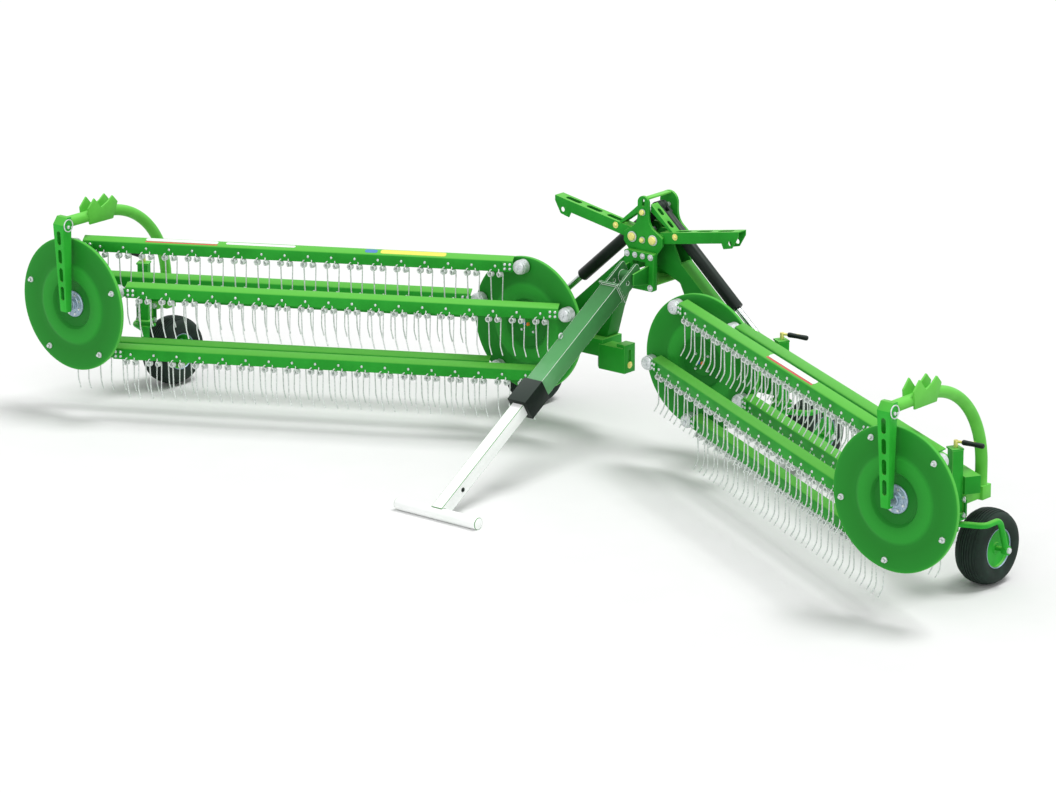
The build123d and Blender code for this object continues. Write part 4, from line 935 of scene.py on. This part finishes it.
def wheels():
    """Ribbed tyres and pressed rims with their hubs and wheel nuts."""
    for side, k in SIDES:
        for place in ("inner", "outer"):
            body = f"wheel_{place}_{side}"
            centre = Vector(JOINTS[f"{body}_spin"]["pos_m"])
            bm = bmesh.new()
            add_ring_mesh(bm, tyre_profile(), centre, (k, 0, 0), 72, closed=True)
            facing_out(bm)
            tyre = piece_from(f"tyre_{place}_{side}_tread", bm, RUBBER, body)
            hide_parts(f"tyre_{place}_{side}")
            bm = bmesh.new()
            add_ring_mesh(bm, RIM_PROFILE, centre, (k, 0, 0), 64, closed=True)
            facing_out(bm)
            wheel = piece_from(f"rim_{place}_{side}_pressed", bm, PAINT_FRESH, body)
            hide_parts(f"rim_{place}_{side}")
            rim_edges(f"rim_edges_{place}_{side}", centre, k, body)


def rim_edges(name, centre, k, body):
    """Both bright edges of a rim, and the wheel's nuts."""
    bm = bmesh.new()
    edge = [(0.1125, 0.070), (0.1135, 0.079), (0.1165, 0.0825), (0.1195, 0.081), (0.120, 0.070)]
    for way in (1, -1):
        add_ring_mesh(bm, edge, centre, (k * way, 0, 0), 64, closed=True)
    nut = [(0.0, 0.014), (0.009, 0.014), (0.0105, 0.0)]
    for i in range(WHEEL_NUTS):
        a = 2 * pi * i / WHEEL_NUTS
        spot = Vector((k * WHEEL_NUT_X, WHEEL_NUT_CIRCLE * cos(a), WHEEL_NUT_CIRCLE * sin(a)))
        add_ring_mesh(bm, nut, centre + spot, (-k, 0, 0), 6)
    facing_out(bm)
    piece_from(name, bm, ZINC_BLUE, body)


# Floor, world, lamps and camera
def stage():
    """Pale floor that keeps the machine's shadow."""
    bm = bmesh.new()
    signs = ((-1, -1), (1, -1), (1, 1), (-1, 1))
    bm.faces.new([bm.verts.new((sx * FLOOR_HALF, sy * FLOOR_HALF, 0)) for sx, sy in signs])
    mesh = bpy.data.meshes.new("floor")
    bm.to_mesh(mesh)
    bm.free()
    matt = {"Roughness": 0.9, "Specular IOR Level": 0.1}
    material, tree, shader, place = surface("pale_floor", **matt)
    cloud = noise(tree, place, FLOOR_CLOUD_MM, 2.0)
    colour = ramp(tree, cloud, [(0.3, "#ebebeb"), (0.7, "#ededed")])
    tree.links.new(colour, shader.inputs["Base Color"])
    floor = link("floor", mesh, material)


def white_world():
    """A world that the camera and polished metal see as white, with less light on the object."""
    world = bpy.data.worlds.new("studio")
    bpy.context.scene.world = world
    world.use_nodes = True
    tree = world.node_tree
    tree.nodes.clear()
    ray = add(tree, "ShaderNodeLightPath").outputs
    seen = add(tree, "ShaderNodeMath", {
        0: ray["Is Camera Ray"], 1: ray["Is Glossy Ray"]}, operation="MAXIMUM")
    strength = grey_range(tree, seen.outputs[0], WORLD_LIGHT, 1.0)
    back = add(tree, "ShaderNodeBackground", {"Color": (1, 1, 1, 1), "Strength": strength})
    add(tree, "ShaderNodeOutputWorld", {"Surface": back.outputs["Background"]})


def lights():
    """A soft key from the right rear above, and a weak broad fill from the camera's side."""
    for name, (energy, spread, tilt) in (("key", KEY), ("fill", FILL)):
        light = bpy.data.lights.new(name, "SUN")
        light.energy = energy
        light.angle = radians(spread)
        lamp = bpy.data.objects.new(name, light)
        lamp.rotation_euler = (radians(tilt[0]), radians(tilt[1]), 0)
        bpy.context.scene.collection.objects.link(lamp)


def camera():
    """The photograph's viewpoint, worked out from the discs and the tine bolts."""
    data = bpy.data.cameras.new("camera")
    data.sensor_width = SENSOR
    data.lens = LENS
    data.clip_end = FAR_CLIP
    eye = bpy.data.objects.new("camera", data)
    bpy.context.scene.collection.objects.link(eye)
    level = cos(ELEVATION)
    right = Vector((cos(AZIMUTH), sin(AZIMUTH), 0))
    back = Vector((sin(AZIMUTH) * level, -cos(AZIMUTH) * level, sin(ELEVATION)))
    up = back.cross(right)
    turn = Matrix((right, up, back)).transposed().to_4x4()
    eye.matrix_world = Matrix.Translation(EYE) @ turn
    bpy.context.scene.camera = eye


# Films
def rounded_rows(start, end, low, high, width):
    """A film with rounded ends, as (place along the bar, low and high share of the width) rows."""
    r = min(LABEL_CORNER_R, LABEL_ROUND * (high - low) * width)
    rows = []
    for i in range(LABEL_CORNER_STEPS + 1):
        a = pi / 2 * i / LABEL_CORNER_STEPS
        trim = r * (1 - sin(a)) / width
        rows.append((start + r * (1 - cos(a)), low + trim, high - trim))
    return rows + [(start + end - u, a, b) for u, a, b in reversed(rows)]


def film_piece(name, side, start, end, film, low, high):
    """One film on the upper face of a side's top bar."""
    k = dict(SIDES)[side]
    body = f"tine_bar_{side}_{LABEL_BAR}"
    place = bar_frame(Vector(JOINTS[f"{body}_hang"]["pos_m"]), k)
    section = angle_section()
    front = Vector(section[TOP_FRONT])
    run = Vector(section[TOP_REAR]) - front
    lift = Vector((-run.y, run.x)).normalized() * LABEL_LIFT
    rows = rounded_rows(start, end, low, high, run.length)
    bm = bmesh.new()
    for (u1, low1, high1), (u2, low2, high2) in zip(rows, rows[1:]):
        corners = []
        for u, share in ((u1, low1), (u2, low2), (u2, high2), (u1, high1)):
            spot = front + run * share + lift
            corners.append(bm.verts.new(place @ Vector((u, spot.x, spot.y))))
        bm.faces.new(corners)
    bmesh.ops.remove_doubles(bm, verts=bm.verts, dist=1e-6)
    for face in bm.faces:
        face.normal_update()
        if face.normal.z < 0:
            face.normal_flip()
    piece_from(name, bm, film, body)


def labels():
    """Blank films on the top bars: white ones with a red stripe, a yellow one and a blue spot."""
    # Side, start and end along the bar, film, and low and high share of the flange's width
    table = [
        ("right", 1.33, 1.97, FILM_WHITE, 0.30, 0.96),
        ("right", 1.33, 1.97, FILM_RED, 0.06, 0.27),
        ("left", 1.95, 2.42, FILM_WHITE, 0.36, 0.92),
        ("left", 1.95, 2.42, FILM_RED, 0.06, 0.27),
        ("left", 1.45, 1.90, FILM_WHITE, 0.40, 0.86),
        ("left", 0.48, 0.90, FILM_YELLOW, 0.10, 0.90),
        ("left", 0.92, 1.00, FILM_BLUE, 0.15, 0.85),
    ]
    for number, film_row in enumerate(table):
        film_piece(f"label_{number}", *film_row)


# Fittings
def bolts_on(name, body, material, table):
    """Hexagon bolts with washers, from (place, direction, radius) rows."""
    bm = bmesh.new()
    for spot, way, r in table:
        washer = [(0.0, 0.003), (r * 1.55, 0.003), (r * 1.6, 0.0015), (r * 1.6, -0.0005)]
        add_ring_mesh(bm, washer, spot, way, 20)
        head = [(0.0, r * 0.9), (r * 0.75, r * 0.9), (r, r * 0.7), (r, 0.002)]
        add_ring_mesh(bm, head, spot, way, 6)
    facing_out(bm)
    piece_from(name, bm, material, body)


def at(x, y, z):
    """A point from millimetres, with Y from the inner discs' plane."""
    return Vector((x / 1000, REEL_Y + y / 1000, z / 1000))


def pin_caps():
    """Domed caps on both ends of the mast's pins and bolts."""
    bm = bmesh.new()
    for x, z, r_mm in MAST_PINS:
        r = r_mm / 1000
        dome = [(0.0, 0.014), (r * 0.45, 0.0135), (r * 0.85, 0.0115), (r, 0.007), (r, 0.0)]
        for y, way in MAST_FACES:
            add_ring_mesh(bm, dome, at(x, y, z), (0, way, 0), 24)
    facing_out(bm)
    piece_from("pin_caps", bm, ZINC_YELLOW, "mast")


def leg_fittings():
    """The eye ring on the parking leg's outer tube, and the bolt across its inner one."""
    bm = bmesh.new()
    ring = round_section(LEG_EYE_R, LEG_EYE_WIRE_R, 10)
    add_ring_mesh(bm, ring, at(*LEG_EYE), (1, 0, 0), 24, closed=True)
    facing_out(bm)
    piece_from("leg_eye", bm, ZINC, "leg")
    x, y, z = LEG_CROSS_BOLT
    bolts_on("leg_cross_bolt", "leg_extension", PAINT_BLACK,
             [(at(sx * x, y, z), (sx, 0, 0), 0.009) for sx in (-1, 1)])


def mast_bolts():
    """Bolts of the hitch plate and of the lock arms."""
    front = (0, -1, 0)
    half_x, half_z = HITCH_BOLT_HALF
    top_x, top_z = HITCH_TOP_BOLTS
    hitch = [(at(sx * half_x, HITCH_FACE_Y, HITCH_MIDDLE_Z + sz * half_z), front, 0.013)
             for sx in (-1, 1) for sz in (-1, 1)]
    hitch += [(at(sx * top_x, HITCH_FACE_Y, top_z), front, 0.012) for sx in (-1, 1)]
    bolts_on("hitch_bolts", "mast", ZINC, hitch)
    x, y, z = LOCK_BOLTS
    bolts_on("lock_arm_bolts", "mast", ZINC_YELLOW,
             [(at(sx * x, y, z), front, 0.013) for sx in (-1, 1)])


def clamp_plate(side, k, arm):
    """The plate between an outer wheel post and its beam, with the clamp's four bolts."""
    post = Vector(JOINTS[f"caster_outer_{side}_swivel"]["pos_m"])
    place = bar_frame(post, k)
    rear = place.to_3x3() @ Vector((0, 1, 0))
    low, high = CLAMP_UP
    wide = CLAMP_HALF
    narrow = CLAMP_HALF - CLAMP_CORNER
    corners = [(-wide, low + CLAMP_CORNER), (-narrow, low), (narrow, low), (wide, low + CLAMP_CORNER),
               (wide, high - CLAMP_CORNER), (narrow, high), (-narrow, high), (-wide, high - CLAMP_CORNER)]
    bm = bmesh.new()
    add_prism(bm, [place @ Vector((u, CLAMP_BACK, z)) for u, z in corners], rear * CLAMP_T)
    facing_out(bm)
    piece_from(f"clamp_plate_{side}", bm, PAINT_DARK, arm)
    bolts_on(f"clamp_bolts_{side}", arm, ZINC,
             [(place @ Vector((u, CLAMP_BACK, z)), -rear, 0.012)
              for u in CLAMP_BOLTS_ALONG for z in CLAMP_BOLTS_UP])


def crank_grips(side, k, arm):
    """The black grips on the two height cranks of an arm."""
    grip = [(0.0, 0.0), (0.011, 0.0), (0.015, 0.004), (0.016, 0.012), (0.014, 0.070),
            (0.016, 0.128), (0.014, 0.138), (0.008, 0.142), (0.0, 0.142)]
    out, back = GRIP_PLACE
    bm = bmesh.new()
    for place in ("inner", "outer"):
        top = Vector(JOINTS[f"caster_{place}_{side}_swivel"]["pos_m"]) + Vector((0, 0, CRANK_UP))
        add_ring_mesh(bm, grip, top + Vector((k * out, back, 0)), (k, GRIP_SKEW, 0), 20)
    facing_out(bm)
    piece_from(f"crank_grips_{side}", bm, PAINT_BLACK, arm)


def axle_cap(side, k, place):
    """The cap on a caster's axle."""
    centre = Vector(JOINTS[f"wheel_{place}_{side}_spin"]["pos_m"])
    bm = bmesh.new()
    cap = [(0.0, 0.016), (0.010, 0.015), (0.017, 0.010), (0.019, 0.0)]
    add_ring_mesh(bm, cap, centre + Vector((k * AXLE_CAP_X, 0, 0)), (k, 0, 0), 24)
    facing_out(bm)
    piece_from(f"axle_cap_{place}_{side}", bm, ZINC, f"caster_{place}_{side}")


def arm_fittings():
    """Box bolts, clamp plates, crank grips and axle caps of both arms."""
    x, y, z = BOX_BOLT
    for side, k in SIDES:
        arm = f"arm_{side}"
        bolts_on(f"box_bolt_{side}", arm, ZINC_YELLOW,
                 [(at(k * x, y, z), (-k, 0, 0), 0.014)])
        clamp_plate(side, k, arm)
        crank_grips(side, k, arm)
        for place in ("inner", "outer"):
            axle_cap(side, k, place)


def link_pins():
    """The pin that holds each hub link on its gooseneck, with its spring ring."""
    half = LINK_PIN_HALF
    pin = [(0.0, half + 0.004), (0.008, half + 0.003), (0.011, half), (0.011, -half),
           (0.008, -half - 0.003), (0.0, -half - 0.004)]
    wire = round_section(LINK_RING_R, LINK_RING_WIRE_R, 8)
    ring_at = Vector((half - LINK_RING_INSET, 0, LINK_RING_UP))
    x, y, z = LINK_PIN
    for side, k in SIDES:
        spot = at(k * x, y, z)
        bm = bmesh.new()
        add_ring_mesh(bm, pin, spot, (1, 0, 0), 20)
        add_ring_mesh(bm, wire, spot + ring_at, (1, 0, LINK_RING_SKEW), 32, closed=True)
        facing_out(bm)
        piece_from(f"link_pin_{side}", bm, ZINC, f"arm_{side}")


# The machine's plates, tubes and castings
def structure():
    """The painted plates, tubes and castings, each in the finish of the real one."""
    # Node, paint, body, slot, softened edge, and the paint of the edge's line: lighter for a painted
    # highlight, darker for a painted shade line
    table = [
        ("mast_front_plate", PAINT, "mast", "dark_green_paint", PLATE_EDGE, PAINT_EDGE),
        ("mast_rear_plate", PAINT, "mast", "green_paint", PLATE_EDGE, PAINT_EDGE),
        ("mast_bridge", PAINT_LIGHT, "mast", "light_green_paint", PLATE_EDGE, None),
        ("hitch_plate", PAINT, "mast", "dark_green_paint", PLATE_EDGE, PAINT_EDGE),
        ("mast_pins", ZINC, "mast", "yellow_zinc", FINE_EDGE, None),
        ("leg_bracket", PAINT_DARK, "mast", "green_paint", PLATE_EDGE, PAINT_EDGE),
        # The outer tube's softened edges get white painted highlight lines.
        ("leg_tube", PAINT_LEG, "leg", "light_green_paint", TUBE_EDGE, PAINT_WHITE),
        ("leg_collar", PAINT_BLACK, "leg", "black_paint", PLATE_EDGE, None),
        ("leg_slide", PAINT_WHITE, "leg_extension", "pale_steel", SHADE_LINE_EDGE, PAINT_DARK),
        ("leg_foot", PAINT_WHITE, "leg_extension", "pale_steel", SHADE_LINE_EDGE, PAINT_DARK),
    ]
    for side, _ in SIDES:
        arm = f"arm_{side}"
        table += [
            (f"lock_arm_{side}", PAINT, "mast", "green_paint", PLATE_EDGE, PAINT_EDGE),
            (f"swan_neck_{side}", PAINT_DARK, arm, "dark_green_paint", PLATE_EDGE, PAINT_EDGE),
            (f"beam_{side}", PAINT, arm, "green_paint", PLATE_EDGE, PAINT_EDGE),
            (f"wheel_posts_{side}", PAINT_FRESH, arm, "green_paint", PLATE_EDGE, PAINT_EDGE),
            (f"cranks_{side}", ZINC_YELLOW, arm, "yellow_zinc", FINE_EDGE, None),
            (f"reel_bearing_{side}", PAINT_FRESH, arm, "green_paint", PLATE_EDGE, None),
            (f"gooseneck_{side}", PAINT_LIGHT, arm, "light_green_paint", TUBE_EDGE, PAINT_DARK),
            (f"hub_link_{side}", PAINT_FRESH, arm, "green_paint", PLATE_EDGE, PAINT_EDGE),
            (f"barrel_{side}", PAINT_BLACK, f"barrel_{side}", "black_paint", PLATE_EDGE, None),
            (f"rod_{side}", CHROME, f"rod_{side}", "zinc", FINE_EDGE, None),
        ]
        for caster in (f"caster_inner_{side}", f"caster_outer_{side}"):
            table.append((caster, PAINT_FRESH, caster, "green_paint", FINE_EDGE, None))
    for node_row in table:
        dressed(*node_row)


structure()
tine_bars()
disc_pieces()
wheels()
labels()
pin_caps()
leg_fittings()
mast_bolts()
arm_fittings()
link_pins()
stage()
white_world()
lights()
camera()
bpy.context.scene.view_settings.view_transform = "Standard"

bpy.context.view_layer.update()
